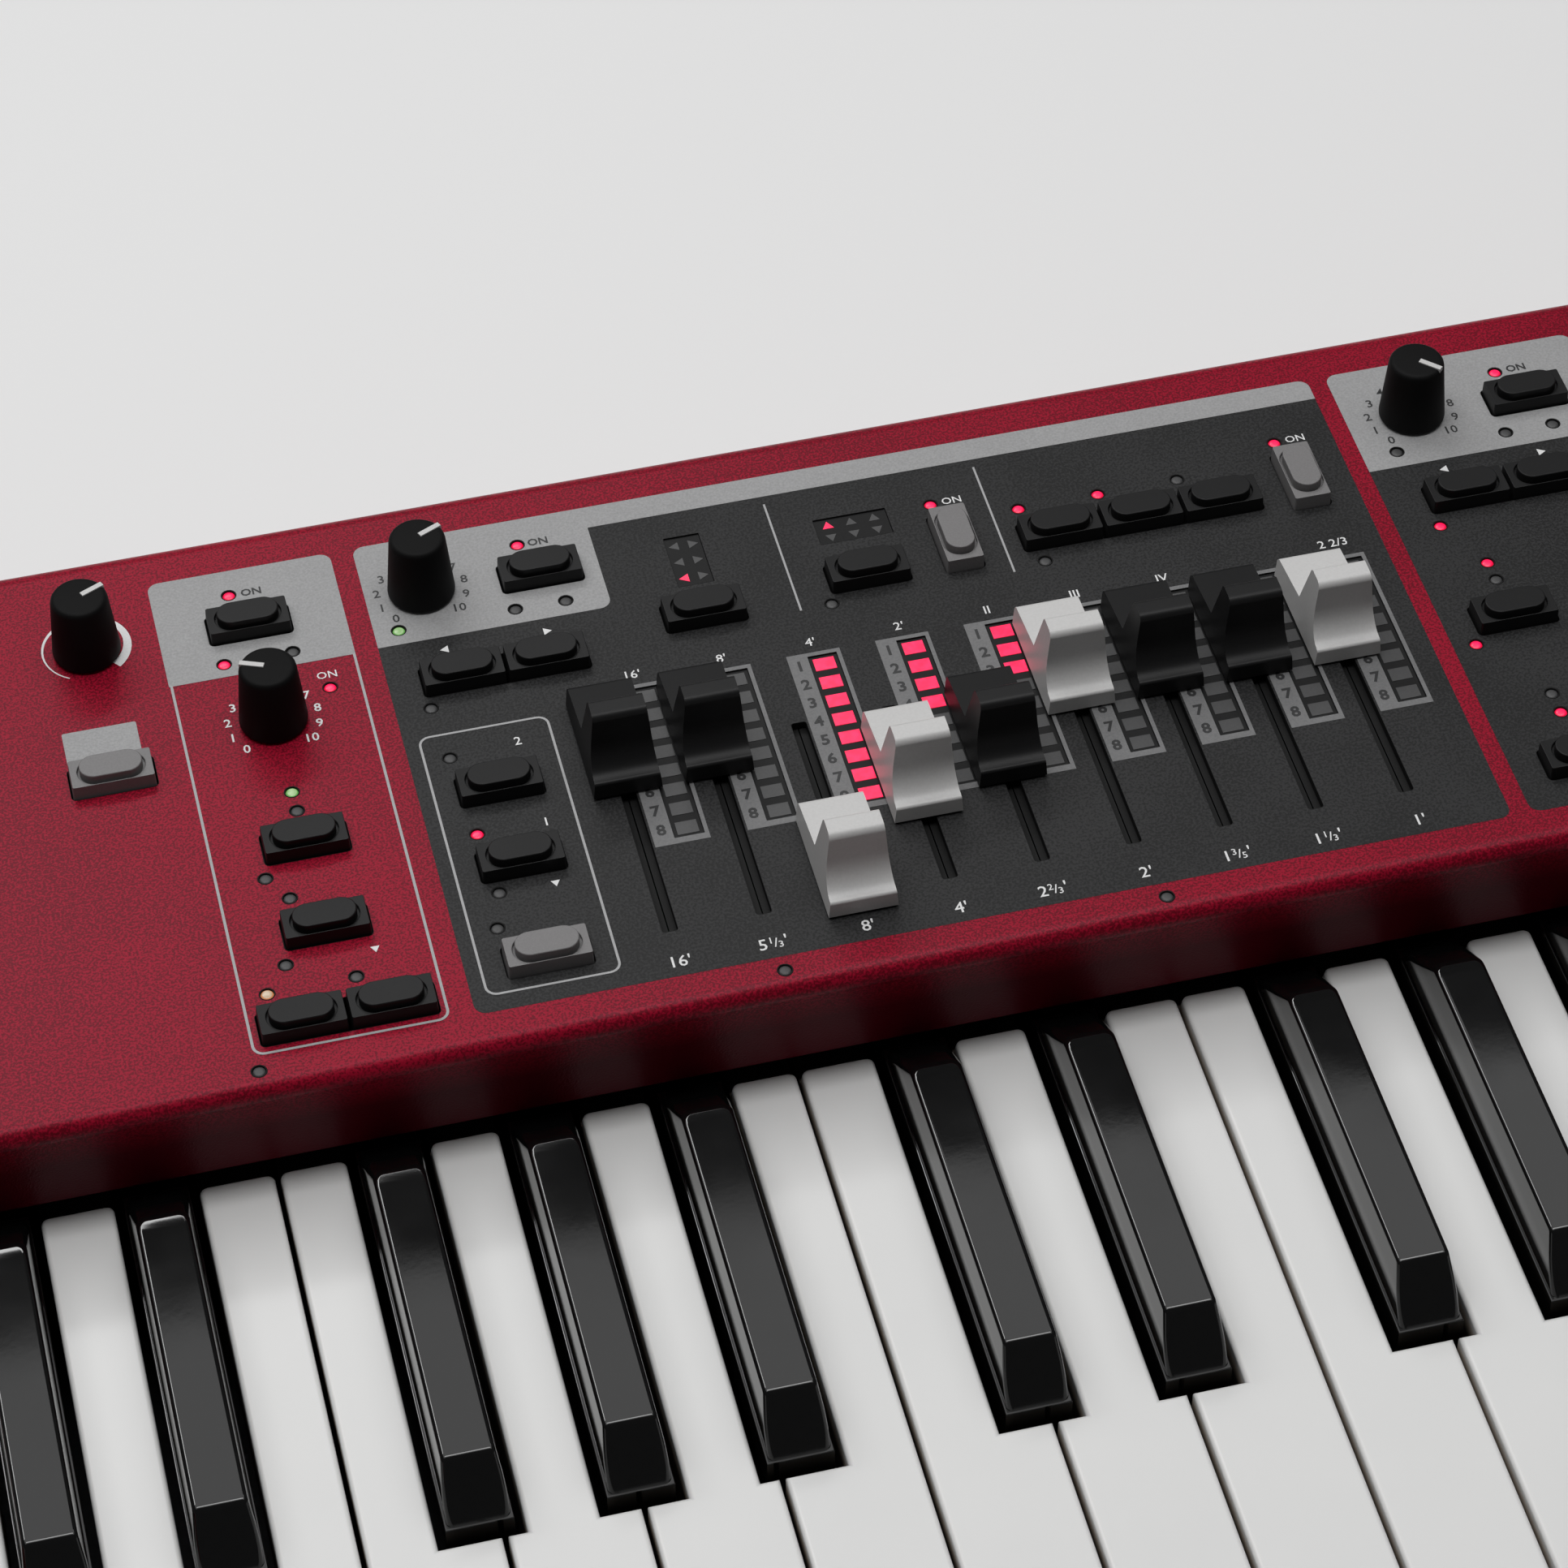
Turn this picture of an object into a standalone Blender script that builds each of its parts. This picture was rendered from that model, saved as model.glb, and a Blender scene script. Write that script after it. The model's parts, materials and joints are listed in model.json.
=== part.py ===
"""Stage piano with 61 keys, nine drawbars, rotary knobs and push buttons.

X runs from the bass end to the treble end, Y from the player to the back, Z up. The origin is on the
floor under the centre of the outline. All sizes are in metres.
"""

import math
from collections import namedtuple

import bmesh
import bpy
from mathutils import Matrix, Vector

# Keyboard
WHITE_COUNT = 36
WHITE_PITCH = 0.0235
WHITE_GAP = 0.001
WHITE_LENGTH = 0.137
WHITE_WALL = 0.002
WHITE_ROOF = 0.003
WHITE_LIP_RADIUS = 0.0025
WHITE_CORNER_RADIUS = 0.0015
WHITE_EDGE = 0.0004
BLACK_LENGTH = 0.083
BLACK_HEIGHT = 0.012
BLACK_BASE_WIDTH = 0.0116
BLACK_TOP_WIDTH = 0.0086
BLACK_FRONT_SLOPE = 0.0065
BLACK_REAR_SLOPE = 0.013
BLACK_EDGE = 0.0011
SLOT_WIDTH = 0.015
SLOT_FRONT_GAP = 0.0022
BLACK_SHIFT = {"C": -0.0022, "D": 0.0022, "F": -0.0037, "G": 0.0, "A": 0.0037}
KEY_DIP = 0.010
ARM_DROP = 0.004
ARM_STEP = 0.001
NOSE_RADIUS = 0.006
HINGE_BACK = 0.052
HINGED_WHITES = 13
FELT_RAIL_BACK = 0.011
FELT_RAIL_WIDTH = 0.009

# Case
SHEET = 0.0015
FOOT_HEIGHT = 0.008
FOOT_RADIUS = 0.0125
FOOT_TAPER = 0.0015
FOOT_INSET_X = 0.045
FOOT_INSET_Y = 0.030
WHITE_LEVEL = 0.060
PANEL_RISE = 0.026
PANEL_DEPTH = 0.136
SLIP_DEPTH = 0.008
SLIP_BELOW_KEYS = 0.022
SLIP_KEY_GAP = 0.0015
FASCIA_RISE = 0.0032
FASCIA_FORWARD = 0.0008
FASCIA_LEAN = 0.0030
FASCIA_HEM = 0.006
PANEL_FRONT_RADIUS = 0.003
PANEL_BACK_RADIUS = 0.005
BACK_FLANGE = 0.012
TRAY_RADIUS = 0.003
JOGGLE = 0.002
CHEEK_WIDTH = 0.025
CHEEK_KEY_GAP = 0.002
CHEEK_RISE = 0.006
CHEEK_STEP = 0.010
CHEEK_EDGE = 0.003
CHEEK_NOSE_RADIUS = 0.012
CHEEK_STEP_RADIUS = 0.008

# Clearances
SEAT = 0.0003
RUN = 0.0004

# Drawbars: x of the first slot from the layout line, y of the slot's front end from the keys' end
DRAWBAR_FIRST = 0.07505
DRAWBAR_PITCH = 0.01697
DRAWBAR_STEP = 0.0048
DRAWBAR_STEPS = 8
DRAWBAR_SETTINGS = (0, 0, 8, 4, 3, 0, 0, 0, 0)
BLACK_DRAWBARS = (0, 1, 4, 6, 7)
DRAWBAR_LIP_BACK = 0.0490
DRAWBAR_WIDTH = 0.0128
DRAWBAR_DRAFT = 0.085
DRAWBAR_DEPTH = 0.0246
DRAWBAR_HEIGHT = 0.0166
DRAWBAR_LIFT = 0.001
DRAWBAR_LIP = 0.0036
DRAWBAR_HOLLOW = 0.0045
DRAWBAR_BLOCK = 0.0045
DRAWBAR_LEDGE = 0.0122
DRAWBAR_LEDGE_HEIGHT = 0.0066
DRAWBAR_LEDGE_FALL = 0.0012
DRAWBAR_HOLLOW_RISE = 0.0062
DRAWBAR_EDGE = 0.0006
STEM_WIDTH = 0.0022
STEM_LENGTH = 0.005
STEM_SETBACK = 0.0049
STEM_DROP = 0.009
SLOT_CLEARANCE = 0.0004

# Knobs
KNOB_RADIUS = 0.00635
KNOB_TOP_RADIUS = 0.00535
KNOB_HEIGHT = 0.0143
KNOB_LIFT = 0.0005
KNOB_EDGE = 0.0006
KNOB_SHAFT_RADIUS = 0.003
KNOB_SHAFT_DROP = 0.0065
KNOB_SIDES = 16
POINTER_WIDTH = 0.0011
POINTER_RISE = 0.0003
POINTER_START = 0.0006

# Buttons
BUTTON_WIDTH = 0.0154
BUTTON_DEPTH = 0.0074
BUTTON_DRAFT = 0.0002
BUTTON_HEIGHT = 0.0028
BUTTON_SINK = 0.0030
BUTTON_PITCH = 0.0158
BUTTON_GAP = 0.0003
OVAL_LENGTH = 0.0116
OVAL_DEPTH = 0.0052
OVAL_RISE = 0.0014
OVAL_DRAFT = 0.0002
OVAL_STEPS = 4
MOAT_WIDTH = 0.0007
MOAT_DEPTH = 0.0006
MAT_SHEET = 0.001
MAT_MARGIN = 0.0012

# Boards under the panel and behind the keys
BOARD = 0.0016
PANEL_BOARD_DROP = 0.0120
FADER_WIDTH = 0.009
FADER_HEIGHT = 0.0068
FADER_MARGIN = 0.004
FADER_GROOVE = 0.0035
FADER_GROOVE_DEPTH = 0.0052
POT_SIZE = 0.0095
SWITCH_SIZE = 0.006
SWITCH_GAP = 0.0012
POST_SIZE = 0.006
POST_COUNT = 6
MAIN_BOARD_LIFT = 0.012
MAIN_BOARD_GAP = 0.010

# Rear connectors
JACK_BORE = 0.0065
JACK_COLLAR = 0.0094
JACK_WIDTH = 0.015
JACK_HEIGHT = 0.014
JACK_DEPTH = 0.022
JACK_BORE_DEPTH = 0.018
ROUND_SOCKET_BORE = 0.0132
ROUND_SOCKET_COLLAR = 0.016
ROUND_SOCKET_WIDTH = 0.0195
ROUND_SOCKET_DEPTH = 0.014
ROUND_SOCKET_BORE_DEPTH = 0.008
DATA_SOCKET = (0.0124, 0.0112)
DATA_SOCKET_BORE = (0.0086, 0.0078)
DATA_SOCKET_DEPTH = 0.016
DATA_SOCKET_BORE_DEPTH = 0.009
POWER_INLET = (0.0275, 0.0196)
POWER_INLET_BORE = (0.0240, 0.0162)
POWER_INLET_DEPTH = 0.024
POWER_INLET_BORE_DEPTH = 0.016
SOCKET_SIDES = 12

# Programme display
DISPLAY_RISE = 0.0004

# Planes that follow from the sizes above
KEYS_HALF = WHITE_COUNT * WHITE_PITCH / 2
PANEL_HALF = KEYS_HALF + CHEEK_KEY_GAP - SEAT
PANEL_LEVEL = WHITE_LEVEL + PANEL_RISE
PANEL_UNDERSIDE = PANEL_LEVEL - SHEET
DEPTH = SLIP_DEPTH + WHITE_LENGTH + PANEL_DEPTH
FRONT_Y = -DEPTH / 2
BACK_Y = DEPTH / 2
KEY_END_Y = BACK_Y - PANEL_DEPTH
TRAY_TOP = FOOT_HEIGHT + SHEET
HINGE_Y = KEY_END_Y + HINGE_BACK
HINGE_Z = WHITE_LEVEL - ARM_DROP - NOSE_RADIUS
CRADLE_END_Y = HINGE_Y + NOSE_RADIUS + RUN
KEY_BED_END_Y = CRADLE_END_Y + 2 * SHEET
KEY_BOTTOM = -NOSE_RADIUS - ARM_STEP
WHITE_TOP = NOSE_RADIUS + ARM_DROP
LAYOUT_X = -KEYS_HALF + 3 * WHITE_PITCH
DRAWBAR_SLOT_Y = DRAWBAR_LIP_BACK - DRAWBAR_STEPS * DRAWBAR_STEP + STEM_SETBACK - SLOT_CLEARANCE
DRAWBAR_SLOT_LENGTH = DRAWBAR_STEPS * DRAWBAR_STEP + STEM_LENGTH + 2 * SLOT_CLEARANCE
BOARD_TOP = PANEL_LEVEL - PANEL_BOARD_DROP

# Layout grid: x from the third gap between white keys and y from the keys' rear ends, in steps of GRID
GRID = 0.001
RIGHT_START = 322
RIGHT_MARGIN = 15

Knob = namedtuple("Knob", "x y pointer")
Bank = namedtuple("Bank", "x y count upright")
Area = namedtuple("Area", "low_x low_y high_x high_y")


def share(part):
    """x on the grid of a control right of the piano section, by its share of the width left there."""
    end = (PANEL_HALF - LAYOUT_X) / GRID - RIGHT_MARGIN
    return RIGHT_START + part * (end - RIGHT_START)


def knob(x, y, pointer):
    """A knob on the layout grid, with the angle of its pointer."""
    return Knob(x * GRID, y * GRID, pointer)


def bank(x, y, count=1, upright=False):
    """A row of buttons on the layout grid, by the centre of its first button."""
    return Bank(x * GRID, y * GRID, count, upright)


def area(*sides):
    """A rectangle on the layout grid."""
    return Area(*[side * GRID for side in sides])


KNOBS = {
    "master_level_knob": knob(-14.4, 110.0, 25),
    "drive_knob": knob(16.2, 83.5, 157.5),
    "organ_level_knob": knob(48.8, 110.0, 25),
    "piano_level_knob": knob(243.7, 110.0, -45),
    "programme_dial": knob(share(0.045), 60.0, 90),
    "synth_level_knob": knob(share(0.32), 110.0, 60),
    "filter_knob": knob(share(0.52), 104.0, 110),
    "effect_amount_knob": knob(share(0.765), 110.0, 140),
}
KEY_MATS = {
    "rotary_key_mat": (
        [area(4, 24, 29, 114)],
        {"on": bank(15.9, 109.3), "microphone": bank(16.5, 52.0), "stop": bank(16.5, 31.1)},
    ),
    "organ_key_mat": (
        [area(59, 79, 211, 114), area(42, 31, 64, 93)],
        {"on": bank(71.4, 109.3), "octave": bank(52.0, 86.2, 2), "preset_2": bank(53.0, 57.0),
         "preset_1": bank(53.0, 38.0), "model": bank(98.8, 91.2), "chorus": bank(131.0, 93.8),
         "percussion": bank(169.0, 95.6, 3)},
    ),
    "piano_key_mat": (
        [area(235, 8, 276, 98), area(256, 90, 276, 114), area(270, 50, share(0.96), 70),
         area(share(0.36), 60, share(0.45), 114), area(share(0.85), 60, share(0.95), 114),
         area(share(0.06), 20, share(0.26), 52)],
        {"on": bank(266.6, 109.3), "octave": bank(246.6, 86.2, 2), "touch": bank(244.4, 53.0),
         "timbre": bank(244.4, 14.8), "programme": bank(share(0.125), 60.0, 3),
         "memory": bank(share(0.10), 29.0, 2), "synth_on": bank(share(0.40), 109.3),
         "wave": bank(share(0.40), 60.0, 2), "effect_on": bank(share(0.88), 109.3),
         "effect": bank(share(0.76), 60.0, 3)},
    ),
}
SINGLE_BUTTONS = {
    "vibrato_button": bank(-14.6, 76.5),
    "slow_button": bank(8.7, 10.2),
    "fast_button": bank(8.7 + BUTTON_PITCH / GRID, 10.2),
    "live_button": bank(53.0, 14.8),
    "chorus_on_button": bank(149.2, 97.8, 1, True),
    "percussion_on_button": bank(217.4, 97.8, 1, True),
}
BLACK_BUTTONS = ("slow_button", "fast_button")
DISPLAY = area(share(0.13) - 35, 88, share(0.13) + 35, 110)
JACKS = {"monitor_in": 30.0, "headphones": 45.8, "left_out": 62.0, "right_out": 78.1,
         "expression": 140.9, "sustain": 199.7, "rotary_control": 237.0}
ROUND_SOCKETS = {"data_in": 161.5, "data_out": 182.2}
DATA_SOCKET_AT = 218.5
POWER_INLET_AT = 290.0

MATERIALS = {
    "red_powder_coat": ((0.262, 0.007, 0.014), 0.55, 0.25),
    "red_lacquered_wood": ((0.262, 0.007, 0.014), 0.4, 0.0),
    "white_key_plastic": ((0.70, 0.69, 0.66), 0.28, 0.0),
    "black_key_plastic": ((0.012, 0.012, 0.013), 0.22, 0.0),
    "white_drawbar_plastic": ((0.72, 0.71, 0.69), 0.45, 0.0),
    "black_control_plastic": ((0.013, 0.013, 0.014), 0.62, 0.0),
    "grey_button_plastic": ((0.19, 0.185, 0.18), 0.6, 0.0),
    "black_rubber": ((0.015, 0.015, 0.016), 0.75, 0.0),
    "chassis_steel": ((0.09, 0.09, 0.095), 0.5, 0.8),
    "circuit_board": ((0.01, 0.06, 0.025), 0.5, 0.0),
    "display_acrylic": ((0.01, 0.012, 0.016), 0.12, 0.0),
}


def clear_scene():
    """Start from an empty scene."""
    for item in list(bpy.data.objects):
        bpy.data.objects.remove(item, do_unlink=True)


def make_material(name):
    """The piece's finish as a Principled material."""
    found = bpy.data.materials.get(name)
    if found:
        return found
    colour, roughness, metallic = MATERIALS[name]
    material = bpy.data.materials.new(name)
    material.use_nodes = True
    shader = material.node_tree.nodes["Principled BSDF"]
    shader.inputs["Base Color"].default_value = (*colour, 1)
    shader.inputs["Roughness"].default_value = roughness
    shader.inputs["Metallic"].default_value = metallic
    return material


def make_object(name, mesh, material, location=(0, 0, 0), turn=0.0, smooth_angle=32):
    """Finish a bmesh as a named object, shaded smooth with sharp edges kept."""
    bmesh.ops.recalc_face_normals(mesh, faces=mesh.faces)
    data = bpy.data.meshes.new(name)
    mesh.to_mesh(data)
    mesh.free()
    data.shade_smooth()
    data.set_sharp_from_angle(angle=math.radians(smooth_angle))
    data.materials.append(make_material(material))
    item = bpy.data.objects.new(name, data)
    item.location = location
    item.rotation_euler.z = turn
    bpy.context.scene.collection.objects.link(item)
    return item


def hide_tool(item):
    """Mark a cutter or a joined shape as a construction object."""
    item.hide_render = True
    item.display_type = "WIRE"
    item.hide_set(True)


def combine(item, tool, operation):
    """Cut the tool from the item, or add it, with an exact Boolean."""
    modifier = item.modifiers.new(tool.name, "BOOLEAN")
    modifier.operation = operation
    modifier.solver = "EXACT"
    modifier.material_mode = "TRANSFER"
    modifier.object = tool
    hide_tool(tool)
    return item


def keep_flats_flat(item):
    """Weight the normals by area, so that a large flat face stays flat beside a rounded bend."""
    item.modifiers.new("flat_faces", "WEIGHTED_NORMAL").keep_sharp = True


def at(x, y, z=PANEL_LEVEL):
    """A layout position on the panel as a point in the world."""
    return Vector((LAYOUT_X + x, KEY_END_Y + y, z))


def tangent_arc(before, corner, after, radius, steps):
    """Centre, start direction and turn of the arc that rounds a corner."""
    arrive = (corner - before).normalized()
    leave = (after - corner).normalized()
    turn = math.atan2(arrive.x * leave.y - arrive.y * leave.x, arrive.dot(leave))
    hand = math.copysign(1, turn)
    reach = radius * math.tan(abs(turn) / 2)
    inward = Vector((-arrive.y, arrive.x)) * hand
    centre = corner - arrive * reach + inward * radius
    spokes = []
    for step in range(steps + 1):
        angle = turn * step / steps
        spoke = -inward
        spokes.append(Vector((spoke.x * math.cos(angle) - spoke.y * math.sin(angle),
                              spoke.x * math.sin(angle) + spoke.y * math.cos(angle))))
    return centre, spokes, hand


def folded_sheet(path, radii, side, steps=3):
    """Closed outline of a folded sheet whose outer face follows the path.

    side is 1 where the metal lies left of the path and -1 where it lies right of it.
    """
    points = [Vector(point) for point in path]
    face = []
    back = []
    for index, point in enumerate(points):
        if 0 < index < len(points) - 1:
            radius = radii[index - 1]
            centre, spokes, hand = tangent_arc(points[index - 1], point, points[index + 1], radius, steps)
            inner = radius - SHEET * hand * side
            face += [centre + spoke * radius for spoke in spokes]
            back += [centre + spoke * inner for spoke in spokes]
        else:
            along = (points[1] - points[0]) if index == 0 else (points[-1] - points[-2])
            along.normalize()
            face.append(point)
            back.append(point + Vector((-along.y, along.x)) * side * SHEET)
    return face + back[::-1]


def rounded_outline(corners, radii, steps=3):
    """Closed outline with each corner rounded; a radius of 0 keeps it sharp."""
    points = [Vector(corner) for corner in corners]
    outline = []
    for index, point in enumerate(points):
        if radii[index] == 0:
            outline.append(point)
            continue
        centre, spokes, _ = tangent_arc(points[index - 1], point, points[(index + 1) % len(points)],
                                        radii[index], steps)
        outline += [centre + spoke * radii[index] for spoke in spokes]
    return outline


def extruded(outline, low_x, high_x):
    """A straight extrusion along X of a closed outline in Y and Z."""
    mesh = bmesh.new()
    face = mesh.faces.new([mesh.verts.new((low_x, y, z)) for y, z in outline])
    grown = bmesh.ops.extrude_face_region(mesh, geom=[face])
    moved = [part for part in grown["geom"] if isinstance(part, bmesh.types.BMVert)]
    bmesh.ops.translate(mesh, verts=moved, vec=(high_x - low_x, 0, 0))
    bmesh.ops.recalc_face_normals(mesh, faces=mesh.faces)
    return mesh


def add_box(mesh, low, high):
    """Add a box between two corners to a mesh."""
    made = bmesh.ops.create_cube(mesh, size=1)["verts"]
    low = Vector(low)
    high = Vector(high)
    bmesh.ops.scale(mesh, vec=high - low, verts=made)
    bmesh.ops.translate(mesh, vec=(low + high) / 2, verts=made)
    return made


def add_cylinder(mesh, centre, radius, low, high, sides=16, along="Z"):
    """Add a cylinder from low to high along Z or Y, round a centre in the other two axes."""
    made = bmesh.ops.create_cone(mesh, cap_ends=True, segments=sides, radius1=radius, radius2=radius,
                                 depth=high - low)["verts"]
    middle = (low + high) / 2
    if along == "Z":
        bmesh.ops.translate(mesh, vec=(centre[0], centre[1], middle), verts=made)
        return made
    for vert in made:
        vert.co = Vector((vert.co.x + centre[0], vert.co.z + middle, -vert.co.y + centre[1]))
    return made


def turned(profile, sides):
    """A solid of revolution about Z from points of radius and height, pole to pole."""
    mesh = bmesh.new()
    verts = [mesh.verts.new((radius, 0, height)) for radius, height in profile]
    edges = [mesh.edges.new(pair) for pair in zip(verts, verts[1:])]
    bmesh.ops.spin(mesh, geom=verts + edges, cent=(0, 0, 0), axis=(0, 0, 1), dvec=(0, 0, 0),
                   angle=math.tau, steps=sides, use_merge=True)
    bmesh.ops.remove_doubles(mesh, verts=mesh.verts, dist=1e-6)
    return mesh


def face_towards(mesh, axis, sign, test=lambda centre: True):
    """The faces that look along an axis and pass a test on their centre."""
    return [face for face in mesh.faces
            if face.normal[axis] * sign > 0.99 and test(face.calc_center_median())]


def pull(mesh, faces, offset):
    """Extrude some faces of a closed solid by an offset."""
    edges = list({edge for face in faces for edge in face.edges})
    grown = bmesh.ops.extrude_face_region(mesh, geom=faces + edges)
    moved = [part for part in grown["geom"] if isinstance(part, bmesh.types.BMVert)]
    bmesh.ops.translate(mesh, verts=moved, vec=offset)


def bevel(mesh, edges, radius, segments):
    """Round some edges."""
    bmesh.ops.bevel(mesh, geom=edges, offset=radius, segments=segments, affect="EDGES", profile=0.5,
                    clamp_overlap=True)


def near(value, target):
    """Whether two coordinates are the same to a hundredth of a millimetre."""
    return abs(value - target) < 1e-5


# Keys: each is modelled about its hinge line, at the origin

def arm_outline(rooted):
    """The arm behind the visible key: a round nose in the hinge rail, or a square end that joins it."""
    if rooted:
        reach = NOSE_RADIUS + RUN + SHEET
        end = [(reach, NOSE_RADIUS), (reach, -NOSE_RADIUS)]
    else:
        end = [(NOSE_RADIUS * math.cos(math.radians(angle)), NOSE_RADIUS * math.sin(math.radians(angle)))
               for angle in (90, 45, 0, -45, -90)]
    return [(-HINGE_BACK, NOSE_RADIUS), *end, (-HINGE_BACK, -NOSE_RADIUS), (-HINGE_BACK, KEY_BOTTOM)]


def white_key(cut_left, cut_right, rooted):
    """A white key with a wide head, a tail between the black keys, and an arm.

    A key on its own hinge is hollow, with rounded corners and its top edges broken. One that is rooted in
    the bed is plainer.
    """
    front = -HINGE_BACK - WHITE_LENGTH
    slot = -HINGE_BACK - BLACK_LENGTH - SLOT_FRONT_GAP
    half = (WHITE_PITCH - WHITE_GAP) / 2
    outline = [(slot, KEY_BOTTOM), (front, KEY_BOTTOM), (front, WHITE_TOP), (slot, WHITE_TOP),
               (-HINGE_BACK, WHITE_TOP), *arm_outline(rooted)]
    mesh = extruded(outline, -half + cut_left, half - cut_right)
    for sign, cut in ((-1, cut_left), (1, cut_right)):
        if cut == 0:
            continue
        side = face_towards(mesh, 0, sign)[0]
        upper = next(vert for vert in side.verts if near(vert.co.y, slot) and near(vert.co.z, WHITE_TOP))
        lower = next(vert for vert in side.verts if near(vert.co.y, slot) and near(vert.co.z, KEY_BOTTOM))
        bmesh.utils.face_split(side, upper, lower)
        pull(mesh, face_towards(mesh, 0, sign, lambda centre: centre.y < slot), (sign * cut, 0, 0))
    bmesh.ops.dissolve_limit(mesh, angle_limit=0.01, verts=mesh.verts, edges=mesh.edges)
    if not rooted:
        floor = face_towards(mesh, 2, -1, lambda centre: near(centre.z, KEY_BOTTOM))
        bmesh.ops.inset_region(mesh, faces=floor, thickness=WHITE_WALL, use_even_offset=True)
        pull(mesh, floor, (0, 0, WHITE_TOP - KEY_BOTTOM - WHITE_ROOF))
        rear = [edge for edge in mesh.edges
                if all(near(vert.co.y, -HINGE_BACK) and vert.co.z > NOSE_RADIUS - 1e-5 for vert in edge.verts)
                and near(edge.verts[0].co.x, edge.verts[1].co.x)]
        bevel(mesh, rear, WHITE_CORNER_RADIUS, 2)
    lip = [edge for edge in mesh.edges
           if all(near(vert.co.y, front) and near(vert.co.z, WHITE_TOP) for vert in edge.verts)]
    bevel(mesh, lip, WHITE_LIP_RADIUS, 1 if rooted else 2)
    if not rooted:
        top = face_towards(mesh, 2, 1, lambda centre: near(centre.z, WHITE_TOP))[0]
        rim = [edge for edge in top.edges if max(vert.co.y for vert in edge.verts) > slot - WHITE_EDGE
               or not near(edge.verts[0].co.y, edge.verts[1].co.y)]
        bevel(mesh, rim, WHITE_EDGE, 1)
    return mesh


def black_key(rooted):
    """A black key: a drafted block with sloping ends and rounded edges, on an arm."""
    front = -HINGE_BACK - BLACK_LENGTH
    top = WHITE_TOP + BLACK_HEIGHT
    outline = [(front, KEY_BOTTOM), (front, WHITE_TOP), (front + BLACK_FRONT_SLOPE, top),
               (-HINGE_BACK - BLACK_REAR_SLOPE, top), (-HINGE_BACK, WHITE_TOP), *arm_outline(rooted)]
    mesh = extruded(outline, -BLACK_BASE_WIDTH / 2, BLACK_BASE_WIDTH / 2)
    for sign in (-1, 1):
        side = face_towards(mesh, 0, sign)[0]
        shoulder = [next(vert for vert in side.verts if near(vert.co.y, y) and near(vert.co.z, WHITE_TOP))
                    for y in (front, -HINGE_BACK)]
        bmesh.utils.face_split(side, *shoulder)
    for vert in mesh.verts:
        if near(vert.co.z, top):
            vert.co.x *= BLACK_TOP_WIDTH / BLACK_BASE_WIDTH
    mesh.normal_update()
    crown = [edge for edge in mesh.edges if all(vert.co.z > WHITE_TOP - 1e-5 for vert in edge.verts)
             and any(near(vert.co.z, top) for vert in edge.verts)]
    bevel(mesh, crown, BLACK_EDGE, 1 if rooted else 2)
    return mesh


NOTES = "CDEFGAB"


def black_after(white):
    """Shift of the black key to the right of a white key, or None where there is none."""
    if white < 0 or white >= WHITE_COUNT - 1:
        return None
    return BLACK_SHIFT.get(NOTES[white % 7])


def white_cuts(white):
    """How far the black keys on either side cut into a white key."""
    cuts = []
    for shift, sign in ((black_after(white - 1), 1), (black_after(white), -1)):
        cuts.append(0 if shift is None else SLOT_WIDTH / 2 + sign * shift - WHITE_GAP / 2)
    return cuts


def key_places():
    """Every key from the bass end as name, kind, x and the white key's number."""
    places = []
    for white in range(WHITE_COUNT):
        note = NOTES[white % 7].lower()
        x = -KEYS_HALF + (white + 0.5) * WHITE_PITCH
        places.append((note, "white", x, white))
        shift = black_after(white)
        if shift is not None:
            places.append((note + "_sharp", "black", x + WHITE_PITCH / 2 + shift, white))
    return places


def make_keys():
    """The hinged keys at the bass end, each on its own hinge, and the rest fused to the key bed."""
    bed = make_key_bed()
    fixed = {"white": bmesh.new(), "black": bmesh.new()}
    for number, (note, kind, x, white) in enumerate(key_places(), start=1):
        hinged = white < HINGED_WHITES - 1 or (white == HINGED_WHITES - 1 and kind == "white")
        shape = white_key(*white_cuts(white), not hinged) if kind == "white" else black_key(not hinged)
        if hinged:
            make_object(f"key_{number:02d}_{note}", shape, kind + "_key_plastic", (x, HINGE_Y, HINGE_Z))
            continue
        bmesh.ops.translate(shape, verts=shape.verts, vec=(x, HINGE_Y, HINGE_Z))
        bmesh.ops.recalc_face_normals(shape, faces=shape.faces)
        carrier = bpy.data.meshes.new("fixed_key")
        shape.to_mesh(carrier)
        shape.free()
        fixed[kind].from_mesh(carrier)
    for kind, shapes in fixed.items():
        combine(bed, make_object(f"fixed_{kind}_keys", shapes, kind + "_key_plastic"), "UNION")


def make_key_bed():
    """The chassis under the keys, with a felt rail in front and the cradle of the hinge at the back."""
    low = TRAY_TOP + SEAT
    floor = low + BOARD
    start = FRONT_Y + SLIP_DEPTH / 2
    rail = FRONT_Y + SLIP_DEPTH + FELT_RAIL_BACK
    rail_end = rail + FELT_RAIL_WIDTH
    swing = math.asin(KEY_DIP / (HINGE_BACK + WHITE_LENGTH))
    lever = HINGE_Y - rail
    rail_top = HINGE_Z + KEY_BOTTOM * math.cos(swing) - lever * math.sin(swing) - RUN
    cradle = HINGE_Z - NOSE_RADIUS - RUN
    cradle_front = HINGE_Y - NOSE_RADIUS / 3
    top = HINGE_Z + NOSE_RADIUS + SHEET
    outline = [(start, low), (KEY_BED_END_Y, low), (KEY_BED_END_Y, top), (CRADLE_END_Y, top),
               (CRADLE_END_Y, cradle), (cradle_front, cradle), (cradle_front, floor), (rail_end, floor),
               (rail_end, rail_top), (rail, rail_top), (rail, floor), (start, floor)]
    return make_object("key_bed", extruded(outline, -KEYS_HALF, KEYS_HALF), "chassis_steel")


# Case

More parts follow.
